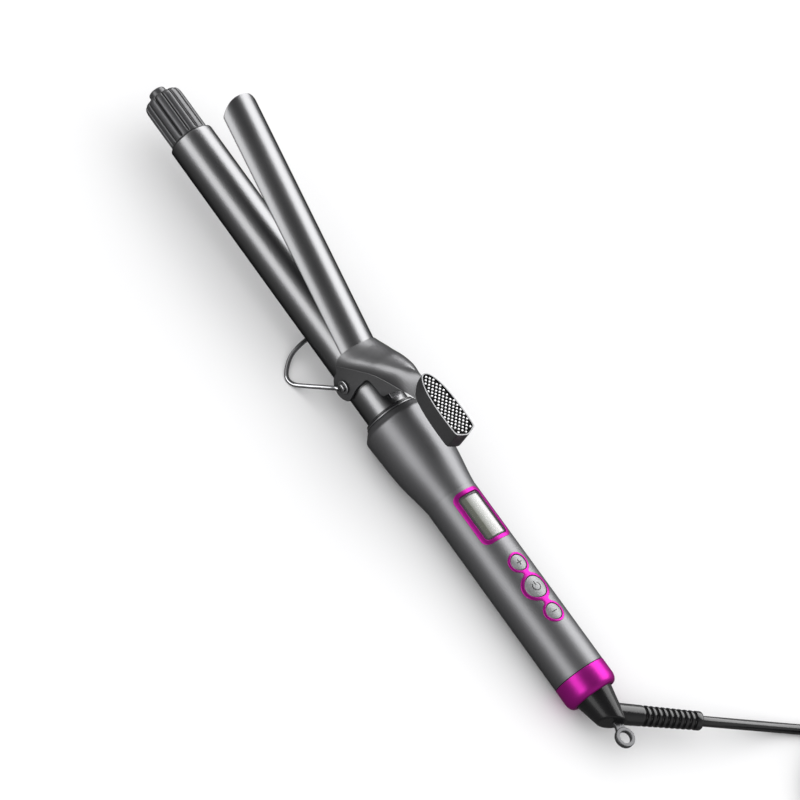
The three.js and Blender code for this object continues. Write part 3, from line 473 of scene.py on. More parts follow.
def capped(outer, holes, rim=0.25, top=0.2, bottom=-2.0, steps=4, lift=None, inner_step=1.2):
    """A plate on the handle's curve with rounded rims: outer is counter-clockwise, holes too."""
    place_at = lift or (lambda x, y, h: on_handle(x, y, h))
    verts, faces = [], []

    def strip(loop_in, loop_out, flip):
        a, b = loop_in, loop_out
        n = len(a)
        for i in range(n):
            j = (i + 1) % n
            f = (a[i], a[j], b[j], b[i])
            faces.append(tuple(reversed(f)) if flip else f)

    edges2d, points2d, back = [], [], []
    under_edges, under_points, under_back = [], [], []
    for loop, sign in [(outer, 1)] + [(h, -1) for h in holes]:
        prev = None
        rows = [(0.0, bottom), (0.0, top - rim)]
        rows += [(rim * (1 - math.cos(math.pi / 2 * k / steps)), top - rim + rim * math.sin(math.pi / 2 * k / steps)) for k in range(1, steps + 1)]
        for off, h in rows:
            pts = inward(loop, off * sign)
            ids = []
            for x, y in pts:
                ids.append(len(verts))
                verts.append(place_at(x, y, h))
            if prev:
                strip(prev, ids, sign < 0)
            else:
                first = len(under_points)
                under_points += [Vector(p) for p in pts]
                under_back += ids
                under_edges += [(first + i, first + (i + 1) % len(pts)) for i in range(len(pts))]
            prev = ids
        base = len(points2d)
        last = inward(loop, rim * sign)
        points2d += [Vector(p) for p in last]
        back += prev
        edges2d += [(base + i, base + (i + 1) % len(last)) for i in range(len(last))]
    # inner points keep the plate on the curve
    xs = [p[0] for p in outer]
    ys = [p[1] for p in outer]

    def inside(p, poly):
        c = False
        for i in range(len(poly)):
            a, b = poly[i - 1], poly[i]
            if (a[1] > p[1]) != (b[1] > p[1]) and p[0] < (b[0] - a[0]) * (p[1] - a[1]) / (b[1] - a[1]) + a[0]:
                c = not c
        return c

    clear_out = inward(outer, rim + 0.25)
    clear_in = [inward(h, -(rim + 0.25)) for h in holes]
    x = min(xs) + 0.4
    while x < max(xs):
        y = min(ys) + 0.4
        while y < max(ys):
            if inside((x, y), clear_out) and not any(inside((x, y), h) for h in clear_in):
                back.append(len(verts))
                verts.append(place_at(x, y, top))
                points2d.append(Vector((x, y)))
            y += inner_step
        x += inner_step
    res = delaunay_2d_cdt(points2d, edges2d, [], 0, 1e-5)
    tri_pts, tris = res[0], res[2]
    orig = res[3]
    for t in tris:
        c = sum((tri_pts[i] for i in t), Vector((0, 0))) / len(t)
        if inside(c, inward(outer, rim)) and not any(inside(c, inward(h, -rim)) for h in holes):
            ids = [back[orig[i][0]] for i in t if orig[i]]
            if len(ids) == len(t) and len(set(ids)) == len(ids):
                faces.append(tuple(ids))
    # the underside, between the same outlines
    res = delaunay_2d_cdt(under_points, under_edges, [], 0, 1e-5)
    for t in res[2]:
        c = sum((res[0][i] for i in t), Vector((0, 0))) / len(t)
        if inside(c, outer) and not any(inside(c, h) for h in holes):
            ids = [under_back[res[3][i][0]] for i in t if res[3][i]]
            if len(ids) == len(t) and len(set(ids)) == len(ids):
                faces.append(tuple(reversed(ids)))
    return verts, faces


def tube(points, radius, sides=24, taper=None, ends=True):
    """A round wire along a dense line, its section carried without twist."""
    pts = [Vector(p) for p in points]
    up = Vector((0, 0, 1))
    t0 = (pts[1] - pts[0]).normalized()
    if abs(t0.dot(up)) > 0.9:
        up = Vector((0, 1, 0))
    nrm = (up - t0 * up.dot(t0)).normalized()
    loops = []
    for i, p in enumerate(pts):
        t = ((pts[min(i + 1, len(pts) - 1)]) - (pts[max(i - 1, 0)])).normalized()
        nrm = (nrm - t * nrm.dot(t)).normalized()
        b = t.cross(nrm)
        r = radius if taper is None else taper(i)
        loops.append([tuple(p + (nrm * math.cos(2 * math.pi * k / sides) + b * math.sin(2 * math.pi * k / sides)) * r) for k in range(sides)])
    return loft(loops, ends)


# ---------------------------------------------------------------- mains lead first: its route is the CAD's
LEAD = [
    (219.04, 45.16, 13.08), (220.62, 47.79, 12.97), (223.6, 53.08, 12.38), (227.12, 59.91, 11.13), (230.62, 67.08, 9.49),
    (234.11, 74.44, 7.68), (237.64, 81.8, 5.91), (241.21, 88.99, 4.38), (244.86, 95.84, 3.3), (248.61, 102.15, 2.9),
    (253.67, 110.13, 2.95), (258.73, 118.1, 3.1),
]
relief_end = IRON @ (ELBOW @ Vector((53, 0, 0)))
relief_way = (IRON.to_3x3() @ RELIEF_DIR).normalized()
route = [tuple(relief_end - relief_way * 9), tuple(relief_end - relief_way * 4)] + LEAD
COLS = (41.2, 35.6, 30.0, 24.4)


def ease(x):
    x = min(1, max(0, x))
    return x * x * (3 - 2 * x)


def coil_at(phi):
    """Where the wound lead is after turning by phi degrees: two layers, inwards below, outwards above."""
    z = 3.65
    if phi < 1295:
        r = COLS[0]
        for k, start in enumerate((295, 655, 1015)):
            r += (COLS[k + 1] - COLS[k]) * ease((phi - start) / 60)
    elif phi < 1360:
        r, z = COLS[3], 3.65 + 5.6 * ease((phi - 1295) / 65)
    else:
        r, z = COLS[3], 9.25
        for k, start in enumerate((1435, 1795, 2155)):
            r += (COLS[2 - k] - COLS[3 - k]) * ease((phi - start) / 60)
        up = ease((phi - 2445) / 65)
        z += 5.85 * up
        r += (38.4 - COLS[0]) * up
    a = math.radians(180 - phi)
    return (r * math.cos(a), r * math.sin(a), z)


def in_row(p):
    q = COIL @ Vector(p)
    return tuple(q * 1000)


coil_in = []
for d, z in ((14.0, 3.35), (6.0, 3.6)):
    coil_in.append(in_row((-41.2, -d, z)))
line = smooth_line(route + coil_in, 6)[:-1]
phi = 0.0
while phi <= 2520:
    line.append(in_row(coil_at(phi)))
    phi += 5
tail = [(24 * math.cos(math.radians(a)) - 14.4, 24 * math.sin(math.radians(a)), 15.1 + (PLUG_Z - 15.1) * ease((180 - a) / 90)) for a in range(176, 89, -6)]
tail += [(-12.4, 24, PLUG_Z), (-9.0, 24, PLUG_Z)]
line += [in_row(p) for p in tail]

curve = bpy.data.curves.new("mains_lead", "CURVE")
curve.dimensions = "3D"
sp = curve.splines.new("POLY")
sp.points.add(len(line) - 1)
for p, q in zip(sp.points, line):
    p.co = (q[0] / 1000, q[1] / 1000, q[2] / 1000, 1)
curve.bevel_depth = 0.00275
curve.bevel_resolution = 7
curve.use_fill_caps = True
lead = bpy.data.objects.new("mains_lead", curve)
bpy.context.scene.collection.objects.link(lead)
curve.materials.append(M["cord"])
sp.use_smooth = True
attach(lead, "swivel")
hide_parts("cord_lead", "cord_coil", "cord_tail")

# ---------------------------------------------------------------- plug and tie
PLUG = COIL @ Matrix.Translation((-14, 24, PLUG_Z))


def plug_loop(x, hw, hh, n=64, power=3.2):
    out = []
    for k in range(n):
        a = 2 * math.pi * k / n
        c, s = math.cos(a), math.sin(a)
        out.append((x, hw * math.copysign(abs(c) ** (2 / power), c), hh * math.copysign(abs(s) ** (2 / power), s)))
    return out


stations = [(2.0, 3.3, 3.3, 2), (2.2, 3.7, 3.7, 2)]
x = 3.0
for k in range(6):
    r = 3.8 + 0.25 * k
    stations += [(x, r, r, 2), (x + 0.25, r - 0.75, r - 0.75, 2), (x + 1.15, r - 0.75, r - 0.75, 2), (x + 1.4, r + 0.05, r + 0.05, 2)]
    x += 2.5
stations += [(18.5, 5.5, 5.3, 2.1), (21, 6.6, 5.7, 2.4), (24, 9.2, 6.2, 2.7), (27, 12.1, 6.55, 3.0), (31, 14.4, 6.75, 3.3), (37, 16.0, 6.85, 3.5), (44, 17.0, 6.85, 3.6), (51, 17.55, 6.85, 3.6), (53.3, 17.4, 6.8, 3.5), (53.85, 17.0, 6.45, 3.4), (54.0, 16.3, 5.9, 3.3)]
v, f = loft([plug_loop(a, b, c, power=p) for a, b, c, p in stations])
plug_obj = piece("plug", v, f, "black", "swivel", ["plug_body"], "gloss_black", to=PLUG, angle=38)
for name, node, y in (("plug_pin_a", "plug_pin_near", PIN_Y), ("plug_pin_b", "plug_pin_far", -PIN_Y)):
    sleeve = lathe([(53.4, 0), (53.4, 1.95), (63.6, 1.95), (63.7, 1.8), (63.7, 0)], 40)
    metal = lathe(soften([(63.0, 0), (63.0, 1.92), (72.2, 1.92), (73.1, 0.9), (73.2, 0)], 0.6), 40)
    pin = piece(name, *moved(merge(metal), Matrix.Translation((0, y, 0))), "nickel", "swivel", [node], "contact_brass", to=PLUG)
    piece(name + "_sleeve", *moved(sleeve, Matrix.Translation((0, y, 0))), "black", "swivel", (), "gloss_black", to=PLUG)

TIE = COIL @ Matrix.Rotation(math.radians(135), 4, "Z")
outer = rounded_rect(20.45, 44.8, 0.0, 12.9, 1.6, 8)
inner = rounded_rect(21.0, 44.35, 0.55, 12.35, 1.1, 8)
loops = []
for y, grow in ((-3, 0.12), (-2.85, 0.0), (2.85, 0.0), (3, 0.12)):
    loops.append([(px, y, pz) for px, pz in inward(outer, grow)])
inn = []
for y, grow in ((3, -0.08), (2.9, 0.0), (-2.9, 0.0), (-3, -0.08)):
    inn.append([(px, y, pz) for px, pz in inward(inner, grow)])
ring_loops = loops + inn
n = len(outer)
verts = [p for l in ring_loops for p in l]
faces = []
for s in range(len(ring_loops)):
    t = (s + 1) % len(ring_loops)
    for i in range(n):
        j = (i + 1) % n
        faces.append((s * n + i, s * n + j, t * n + j, t * n + i))
tie_obj = piece("lead_tie", verts, faces, "tie", "swivel", ["coil_tie"], "cord_sheath", to=TIE, angle=30)
clasp = loft([[(px, y, pz) for px, pz in rounded_rect(43.6, 44.85, 3.6, 9.2, 0.5, 5)] for y in (-3.1, 3.1)])
piece("lead_tie_clasp", *clasp, "tie", "swivel", (), "cord_sheath", to=TIE, angle=30)

# ---------------------------------------------------------------- cool tip
def tip():
    per, ribs = 16, 14
    segs = per * ribs
    stations = [(-33.0, 0, 0), (-33.0, 3.4, 0), (-32.9, 4.0, 0), (-32.6, 4.45, 0), (-32.1, 4.72, 0), (-31.4, 4.8, 0), (-28.6, 4.8, 0), (-28.35, 4.9, 0), (-28.1, 5.2, 0)]
    stations += [(-28.0, 8.7, 0.75), (-27.9, 9.25, 0.9), (-27.6, 9.8, 1.0), (-27.1, 10.2, 1.0), (-26.4, 10.52, 1.0), (-25.4, 10.75, 1.0), (-24.2, 10.86, 1.0), (-22.5, 10.9, 1.0)]
    stations += [(x, 10.9, 1.0) for x in (-18, -13, -8, -4, -2.2)]
    stations += [(-1.5, 10.9, 0.6), (-1.1, 10.85, 0.3), (-0.8, 10.75, 0.0), (-0.5, 10.4, 0.0), (8, 10.3, 0.0), (8, 0, 0)]
    verts, rings = [], []
    for x, r, depth in stations:
        if r == 0:
            rings.append([len(verts)])
            verts.append((x, 0, 0))
            continue
        rings.append(list(range(len(verts), len(verts) + segs)))
        for k in range(segs):
            a = 2 * math.pi * k / segs
            u = (k % per) / per
            rib = max(0, 1 - abs(2 * u - 1) ** 4) ** 0.6
            rr = r - 1.3 * depth * (1 - rib)
            verts.append((x, rr * math.sin(a), rr * math.cos(a)))
    faces = []
    for a, b in zip(rings, rings[1:]):
        for k in range(segs):
            j = (k + 1) % segs
            if len(a) == 1:
                faces.append((a[0], b[k], b[j]))
            elif len(b) == 1:
                faces.append((a[k], b[0], a[j]))
            else:
                faces.append((a[k], b[k], b[j], a[j]))
    return verts, faces


piece("tip", *tip(), "tip", "root", ["cool_tip"], "tip_plastic", angle=50)

# ---------------------------------------------------------------- barrel
prof = [(0.35, 11.2), (0.0, 11.5), (0.0, 11.8), (0.12, 12.15), (0.4, 12.4), (0.85, BARREL_R)]
prof += [(x, BARREL_R) for x in (3, 20, 50, 80, 110, 140, 154, 170, 185, 199)]
prof += [(199, 11.5), (150, 11.5), (80, 11.5), (1.2, 11.5)]
piece("barrel", *lathe(prof, 160, True), "barrel", "root", ["barrel_tube"], "barrel_metal", angle=45)

# ---------------------------------------------------------------- tongue
def tongue():
    rin, rout, half = 12.8, 13.6, math.radians(58)
    nose, front, plan_half = 15.0, 2.0, 13.2
    width = rout * math.sin(half)
    loops = []
    xs = [front + nose * (1 - math.cos(math.pi / 2 * k / 26)) for k in range(27)] + [24, 34, 48, 64, 80, 96, 112, 128, 142, 151]
    m = 40
    for x in xs:
        if x < front + nose:
            t = (front + nose - x) / nose
            y = plan_half * max(1e-3, math.sin(math.acos(min(1, t)))) ** 0.8
        else:
            y = plan_half
        a = min(half, math.asin(min(1, max(0.03, min(y, rout * 0.9999)) / rout))) if y < width else half
        e = 0.4
        loop = []
        for k in range(m + 1):
            th = -a + 2 * a * k / m
            loop.append((x, rout * math.sin(th), rout * math.cos(th)))
        ea = min(e / rout, a * 0.3)
        mid = (rin + rout) / 2
        for k in range(1, 6):
            g = math.pi * k / 6
            loop.append((x, (mid + 0.4 * math.cos(g)) * math.sin(a + ea * math.sin(g)), (mid + 0.4 * math.cos(g)) * math.cos(a + ea * math.sin(g))))
        for k in range(m + 1):
            th = a - 2 * a * k / m
            loop.append((x, rin * math.sin(th), rin * math.cos(th)))
        for k in range(1, 6):
            g = math.pi * k / 6
            loop.append((x, (mid - 0.4 * math.cos(g)) * math.sin(-a - ea * math.sin(g)), (mid - 0.4 * math.cos(g)) * math.cos(-a - ea * math.sin(g))))
        loops.append(loop)
    return moved(loft(loops), OPENED)


piece("tongue", *tongue(), "barrel", "clamp", ["clamp_tongue"], "barrel_metal", angle=42)

# ---------------------------------------------------------------- lever
HOOD = [
    (145.6, 14.6, 2.6, 14.6, 4.2, 17.7), (148, 14.6, 2.8, 14.5, 5.9, 18.9), (151, 14.6, 3.0, 14.2, 8.6, 20.6), (154, 14.6, 3.0, 13.5, 11.4, 22.7),
    (157, 14.6, 3.0, 12.6, 14.0, 24.9), (160, 14.6, 3.0, 11.8, 16.4, 27.3), (163, 14.5, 3.0, 11.0, 18.9, 29.8), (166.6, 14.4, 3.4, 10.2, 21.4, 32.1),
    (169.5, 12.9, 8.0, 9.5, 22.8, 33.8), (173, 11.1, 14.0, 8.5, 24.2, 35.8), (177, 9.3, 19.0, 7.6, 25.7, 37.6), (181.5, 7.7, 23.5, 6.8, 27.7, 39.2),
    (186, 6.6, 28.0, 6.0, 29.6, 40.4), (190, 6.0, 30.4, 5.0, 31.2, 40.6), (194, 5.6, 31.4, 4.6, 32.4, 40.6),
]
HOOD_FINE = [tuple(p) for p in smooth_line(HOOD, 4)]


def hood_loops(inset):
    loops = []
    for x, cheek, low, yc, wc, top in HOOD_FINE:
        half = [(cheek - inset, -12), (cheek - inset, low)]
        for s in (1 / 3, 2 / 3):
            half.append((cheek - inset + (yc - cheek) * s, low + (wc - low) * s))
        n = 24
        ledge = 0.24 * min(1, max(0, (x - 147) / 6)) * min(1, max(0, (188 - x) / 8))
        peak = ease((x - 172) / 14)
        half.append((yc - inset, wc))
        for i in range(n + 1):
            a = math.pi / 2 * i / n
            c, rise = max(0, math.cos(a)), math.sin(a)
            rise += (1 - c ** 1.2 - rise) * peak
            half.append(((yc - ledge - inset) * c, wc + ledge * 0.8 + (top - inset - wc - ledge * 0.8) * rise))
        half[-1] = (0, half[-1][1])
        full = half + [(-y, z) for y, z in reversed(half[:-1])]
        loops.append([(x, y, z) for y, z in full])
    return loops


PAD_TOP = 42.0
PAD = [(182.6, 0), (182.65, 0.6), (182.9, 1.2), (183.3, 1.85), (183.9, 2.5), (184.9, 3.25), (186.2, 3.95), (188, 4.7), (190, 5.35), (192.4, 5.9), (195, 6.3), (197.5, 6.58), (200, 6.78), (203, 6.92), (206, 6.98), (209.5, 6.96), (213, 6.86), (215.5, 6.76), (217.4, 6.6), (218.3, 6.35), (218.9, 5.8), (219.35, 5.0), (219.9, 3.8), (220.4, 2.6), (220.8, 1.4), (221.05, 0.5)]


def pad_outline(inset):
    half = [(182.6 + inset + (x - 182.6) * (38.5 - 2 * inset) / 38.5, y * (6.98 - inset) / 6.98) for x, y in PAD]
    return [(x, -y) for x, y in half] + [(x, y) for x, y in reversed(half[1:])]


def arc(cx, cz, r, a0, a1, n):
    return [(cx + r * math.cos(math.radians(a0 + (a1 - a0) * i / n)), cz + r * math.sin(math.radians(a0 + (a1 - a0) * i / n))) for i in range(n + 1)]


def make_lever():
    wall = 1.4
    body = raw("lever", *loft(hood_loops(0)))
    inner = hood_loops(wall)
    first = [(140, y, z - 4.0) for _, y, z in inner[0]]
    keep = [l for l in inner if l[0][0] < 187.4]
    last = [(187.5, y, z) for _, y, z in keep[-1]]
    boolean(body, raw("hollow", *loft([first] + keep + [last])), "DIFFERENCE")
    lip = [(math.sin(math.radians(a)) * 13.9, math.cos(math.radians(a)) * 13.9) for a in range(-70, 71, 4)] + [(0, 4)]
    boolean(body, raw("lip", *moved(prism(lip, 130, 151.4, "x"), OPENED)), "DIFFERENCE")
    side = [(145.6, 60), (145.6, 11.5), (145.9, 10.0), (146.6, 8.6), (149.0, 4.6)]
    side += arc(PIVOT_X, PIVOT_Z, 7.8, 168, 334, 40)
    side += [(165.0, 3.2), (164.3, 5.5), (164.0, 8), (164.05, 10.5), (164.2, 13.0)]
    side += arc(167.3, 13.9, 3.1, 180, 90, 12)
    side += [(174.0, 16.6), (175.6, 16.3), (176.6, 16.6), (177.1, 17.8), (177.6, 19.6), (178.3, 22.0), (179.3, 24.2), (180.4, 26.0), (181.6, 27.4), (183.0, 28.6), (184.6, 29.4), (186.8, 30.3), (189, 30.9), (194, 31.2), (194, 60)]
    boolean(body, raw("side", *prism(side, -16, 16, "y")), "INTERSECT")
    block = raw("block", *prism(pad_outline(0), 29, PAD_TOP, "z"))
    slope = [(182, 33.4), (188, 31.9), (195, 31.4), (221.5, 30.4), (222, PAD_TOP + 1), (182, PAD_TOP + 1)]
    boolean(block, raw("slope", *prism(slope, -10, 10, "y")), "INTERSECT")
    boolean(body, block, "UNION")
    boolean(body, raw("tray", *prism(pad_outline(0.65), PAD_TOP - 1.3, PAD_TOP + 5, "z")), "DIFFERENCE")
    boolean(body, raw("hole", *prism(circle(PIVOT_X, PIVOT_Z, 1.85, 40), -20, 20, "y")), "DIFFERENCE")
    # drop loose slivers
    bm = bmesh.new()
    bm.from_mesh(body.data)
    bmesh.ops.remove_doubles(bm, verts=bm.verts, dist=0.002)
    seen, keep_set = set(), set()
    bm.verts.ensure_lookup_table()
    for v in bm.verts:
        if v in seen:
            continue
        group, todo = set(), [v]
        while todo:
            w = todo.pop()
            if w in group:
                continue
            group.add(w)
            todo += [e.other_vert(w) for e in w.link_edges if e.other_vert(w) not in group]
        seen |= group
        if len(group) > len(keep_set):
            keep_set = group
    bmesh.ops.delete(bm, geom=[v for v in bm.verts if v not in keep_set], context="VERTS")
    bmesh.ops.triangulate(bm, faces=[f for f in bm.faces if len(f.verts) > 4])
    bm.to_mesh(body.data)
    bm.free()
    return body


lever = make_lever()
rim = pad_outline(0)


def off_rim(p):
    best = 9
    for i in range(len(rim)):
        a, b = Vector(rim[i - 1]), Vector(rim[i])
        d = b - a
        t = max(0, min(1, (p - a).dot(d) / max(d.length_squared, 1e-9)))
        best = min(best, (p - a - d * t).length)
    return best


dark = [
    abs(q.normal.z) < 0.5 and q.center.x < 218.7 and all(off_rim(lever.data.vertices[v].co.xy) < 0.02 for v in q.vertices)
    for q in lever.data.polygons
]
finish(lever, ["lever", "pad_side"], "clamp", ["clamp_lever"], angle=28)
lever.data.polygons.foreach_set("material_index", [int(d) for d in dark])

# the black inset of the thumb block carries rounded dots on a slanted grid
v, f = prism(pad_outline(0.7), PAD_TOP - 1.0, PAD_TOP - 0.35, "z")
inset = piece("thumb_inset", v, f, "inset", "clamp", ["thumb_grip"], "thumb_inset", angle=40)


def dots():
    parts = []
    o = pad_outline(1.3)

    def inside(p):
        c = False
        for i in range(len(o)):
            a, b = o[i - 1], o[i]
            if (a[1] > p[1]) != (b[1] > p[1]) and p[0] < (b[0] - a[0]) * (p[1] - a[1]) / (b[1] - a[1]) + a[0]:
                c = not c
        return c

    pitch = 1.95
    for i in range(-14, 15):
        for j in range(-14, 15):
            x = 202 + (i + j) * pitch * 0.7071 * 1.04
            y = (i - j) * pitch * 0.7071
            if not inside((x, y)):
                continue
            rings = []
            for r, z in ((0.63, 0), (0.61, 0.12), (0.52, 0.25), (0.35, 0.35), (0.13, 0.39)):
                rings.append([(x + r * math.cos(2 * math.pi * k / 14), y + r * math.sin(2 * math.pi * k / 14), PAD_TOP - 0.4 + z) for k in range(14)])
            parts.append(loft(rings))
    return merge(*parts)


piece("thumb_dots", *dots(), "dots", "clamp", (), "thumb_inset", angle=60)

# ---------------------------------------------------------------- pivot screws
for side, s in (("near", -1), ("far", 1)):
    prof = [(9.6, 0), (9.6, 1.5), (16.05, 1.5), (16.05, 2.1), (16.15, 2.28), (16.45, 2.3), (16.75, 2.22), (17.05, 2.0), (17.25, 1.6), (17.36, 1.0), (17.4, 0)]
    lv, lf = lathe(prof, 64)
    # the lathe's x becomes y
    verts = [(PIVOT_X + z, s * x, PIVOT_Z + y) for x, y, z in lv]
    o = raw("screw", verts, lf)
    for w, h in ((1.35, 0.3), (0.3, 1.35)):
        b, _ = prism([(-w, -h), (w, -h), (w, h), (-w, h)], -0.8, 0.8, "y")
        turn = Matrix.Translation((PIVOT_X, s * 17.5, PIVOT_Z)) @ Matrix.Rotation(0.5, 4, "Y")
        boolean(o, raw("slot", [tuple(turn @ Vector(p)) for p in b], prism([(-1, -1), (1, -1), (1, 1), (-1, 1)], -1, 1, "y")[1]), "DIFFERENCE")
    o.name = "screw_" + side
    finish(o, "screw", "root", ["pivot_screw_" + side], angle=40)

# ---------------------------------------------------------------- wire stand
half = [
    (-1.2, 15.8, -3.2), (-2.5, 16.1, -4.0), (-4.2, 16.7, -6.0), (-9.0, 19.0, -10.9), (-13.8, 21.7, -15.6), (-18.6, 24.2, -19.9), (-21.0, 25.2, -20.65),
    (-23.4, 25.35, -20.8), (-26.0, 24.1, -20.8), (-30.0, 20.4, -20.4), (-33.4, 15.8, -19.6), (-35.6, 10.4, -18.0), (-36.6, 5.2, -16.2),
]
pts = [(PIVOT_X + x, -y, PIVOT_Z + z) for x, y, z in half] + [(PIVOT_X - 36.9, 0, PIVOT_Z - 15.05)] + [(PIVOT_X + x, y, PIVOT_Z + z) for x, y, z in reversed(half)]
parts = [tube(smooth_line(pts, 7), 1.18, 24)]
for s in (-1, 1):
    eye = []
    for x, r in ((-0.45, 1.9), (-0.5, 2.3), (-0.5, 3.3), (-0.38, 3.65), (-0.15, 3.8), (0.15, 3.8), (0.38, 3.65), (0.5, 3.3), (0.5, 2.3), (0.45, 1.9)):
        eye.append((x, r))
    lv, lf = lathe(eye, 56, True)
    parts.append(([(PIVOT_X + z, s * 15.4 + x, PIVOT_Z + y) for x, y, z in lv], lf))
piece("wire_stand", *merge(*parts), "chrome", "stand", ["bail_stand"], "stand_chrome", angle=50)

# ---------------------------------------------------------------- rings
piece("ring_insulating", *lathe(soften([(181.2, 12.6), (181.2, 14.0), (182.4, 14.0), (182.4, 12.6)], 0.35, 5, True), 144, True), "ring_black", "root", ["insulating_ring"], "gloss_black", angle=40)
piece("ring_spacer", *lathe(soften([(182.6, 12.6), (182.6, 14.8), (183.55, 14.8), (183.55, 12.6)], 0.35, 5, True), 144, True), "lever", "root", ["spacer_ring"], "lever_metal", angle=40)

# ---------------------------------------------------------------- handle
flare = smooth_line([(183.8, 15.0), (184.0, 15.4), (184.6, 15.95), (186.5, 17.5), (187.4, 18.3), (188.2, 18.72), (189.2, 18.85), (192, 18.76), (197, 18.52), (205, 18.2), (213, 17.7), (218, 17.1), (223, 16.3), (228, 15.4), (232, 14.75), (235.2, 14.38)], 4)
body_line = flare + [(235.6, 14.33), (236.0, 14.22), (236.35, 14.22), (236.7, HANDLE_R)]
x = 239.0
while x < 345.4:
    body_line.append((x, HANDLE_R))
    x += 3.0
body_line += [(345.5, HANDLE_R), (345.75, HANDLE_R - 0.08), (345.8, HANDLE_R - 0.3)]
inner_line = [(345.8, 12.3), (300, 12.3), (260, 12.3), (238, 12.3), (226, 13.6), (214, 15.6), (188.8, 15.6), (187.6, 14.6), (183.8, 14.6)]
shell = raw("handle", *lathe(body_line + inner_line, 176, True))


def chain_half(x, r1, r2, neck, fillet):
    """Half width of the three-disc outline at x, its necks filleted into the discs."""
    best = 0
    h = neck / 2
    for i, (c, r) in enumerate(zip(KEYS, (r1, r2, r1))):
        for side in (-1, 1):
            if (i == 0 and side < 0) or (i == 2 and side > 0):
                continue
            d = (x - c) * side
            far = math.sqrt((r + fillet) ** 2 - (h + fillet) ** 2)
            meet = far * r / (r + fillet)
            if meet < d < far:
                best = max(best, h + fillet - math.sqrt(max(0, fillet ** 2 - (d - far) ** 2)))
        if abs(x - c) < r:
            best = max(best, math.sqrt(r * r - (x - c) ** 2))
    if KEYS[0] < x < KEYS[2]:
        best = max(best, h)
    return best


def chain(r1, r2, neck, fillet=1.7):
    x0, x1 = KEYS[0] - r1, KEYS[2] + r1
    xs = [KEYS[0] - r1 * math.cos(math.pi / 2 * i / 16) for i in range(17)]
    x = KEYS[0] + 0.25
    while x < KEYS[2] - 0.1:
        xs.append(x)
        x += 0.2
    xs += [KEYS[2] + r1 * math.sin(math.pi / 2 * i / 16) for i in range(17)]
    lower = [(x, -chain_half(x, r1, r2, neck, fillet)) for x in xs[1:-1]]
    return [(x0, 0)] + lower + [(x1, 0)] + [(x, -y) for x, y in reversed(lower)]


FRAME_OUT = dense(rounded_rect(238.3, 269.3, -9.35, 9.35, 4, 10), 0.9)
boolean(shell, raw("cut_display", *prism(rounded_rect(238.9, 268.7, -8.7, 8.7, 3.4, 10), 4, 30, "z")), "DIFFERENCE")
boolean(shell, raw("cut_keys", *prism(chain(5.4, 7.4, 2.6), 4, 30, "z")), "DIFFERENCE")
finish(shell, "handle", "root", ["handle_shell"], angle=30)
shell.name = "handle"

# ---------------------------------------------------------------- display
WINDOW = dense(rounded_rect(240.9, 266.8, -6.95, 6.95, 2.0, 8), 0.9)
piece("display_surround", *capped(FRAME_OUT, [dense(rounded_rect(240.6, 267.1, -7.15, 7.15, 2.2, 8), 0.9)], rim=0.3, top=0.2, bottom=-1.6), "magenta", "root", ["display_frame"], "accent_magenta", angle=50)


def sheet_on(outer, top, bottom, rim=0.08):
    v, f = capped(outer, [], rim=rim, top=top, bottom=bottom, steps=2)
    base = len(outer)
    f.append(tuple(reversed(range(base))))
    return v, f


def pane(x0, x1, y0, y1, r, top, bottom, m=40):
    """A rounded slab on the handle's curve, in even rows, so that it shades smoothly."""
    xs = [x0 + r * (1 - math.cos(math.pi / 2 * k / 8)) for k in range(9)]
    xs += [x0 + r + (x1 - x0 - 2 * r) * k / 14 for k in range(1, 14)]
    xs += [x1 - r + r * math.sin(math.pi / 2 * k / 8) for k in range(9)]
    loops = []
    for x in xs:
        d = max(0, x0 + r - x, x - (x1 - r))
        cut = r - math.sqrt(max(0, r * r - d * d)) if d > 0 else 0
        lo, hi = y0 + cut, y1 - cut
        ys = [lo + (hi - lo) * k / m for k in range(m + 1)]
        loops.append([on_handle(x, y, top) for y in ys] + [on_handle(x, y, bottom) for y in reversed(ys)])
    return loft(loops)


piece("display_glass", *pane(240.9, 266.8, -6.95, 6.95, 2.0, -0.28, -0.95), "window", "root", ["display_window"], "window_clear", angle=50)
piece("display_line", *capped(dense(rounded_rect(240.7, 267.0, -7.05, 7.05, 2.1, 8), 0.9), [dense(rounded_rect(241.9, 265.9, -5.3, 6.45, 0.9, 6), 0.9)], rim=0.1, top=-1.0, bottom=-1.9, steps=2), "line", "root", ["display_bezel"], "gloss_black", angle=50)
piece("display_face", *pane(241.0, 266.7, -6.8, 6.8, 1.2, -1.35, -2.6), "lcd", "root", ["lcd_module"], "lcd_face", angle=50)

# ---------------------------------------------------------------- keys
piece(
    "key_surround",
    *capped(chain(5.9, 7.9, 3.9), [circle(KEYS[0], 0, 4.62, 64), circle(KEYS[1], 0, 6.22, 80), circle(KEYS[2], 0, 4.62, 64)], rim=0.28, top=0.22, bottom=-1.6, inner_step=0.7),
    "magenta", "root", ["button_surround"], "accent_magenta", angle=50,
)


def key_point(cx, R, x, y):
    """Top of a key: the handle's curve with a slight dome."""
    q = ((x - cx) ** 2 + y * y) / (R * R)
    return math.sqrt((14.32 + 0.4 * (1 - q)) ** 2 - y * y)


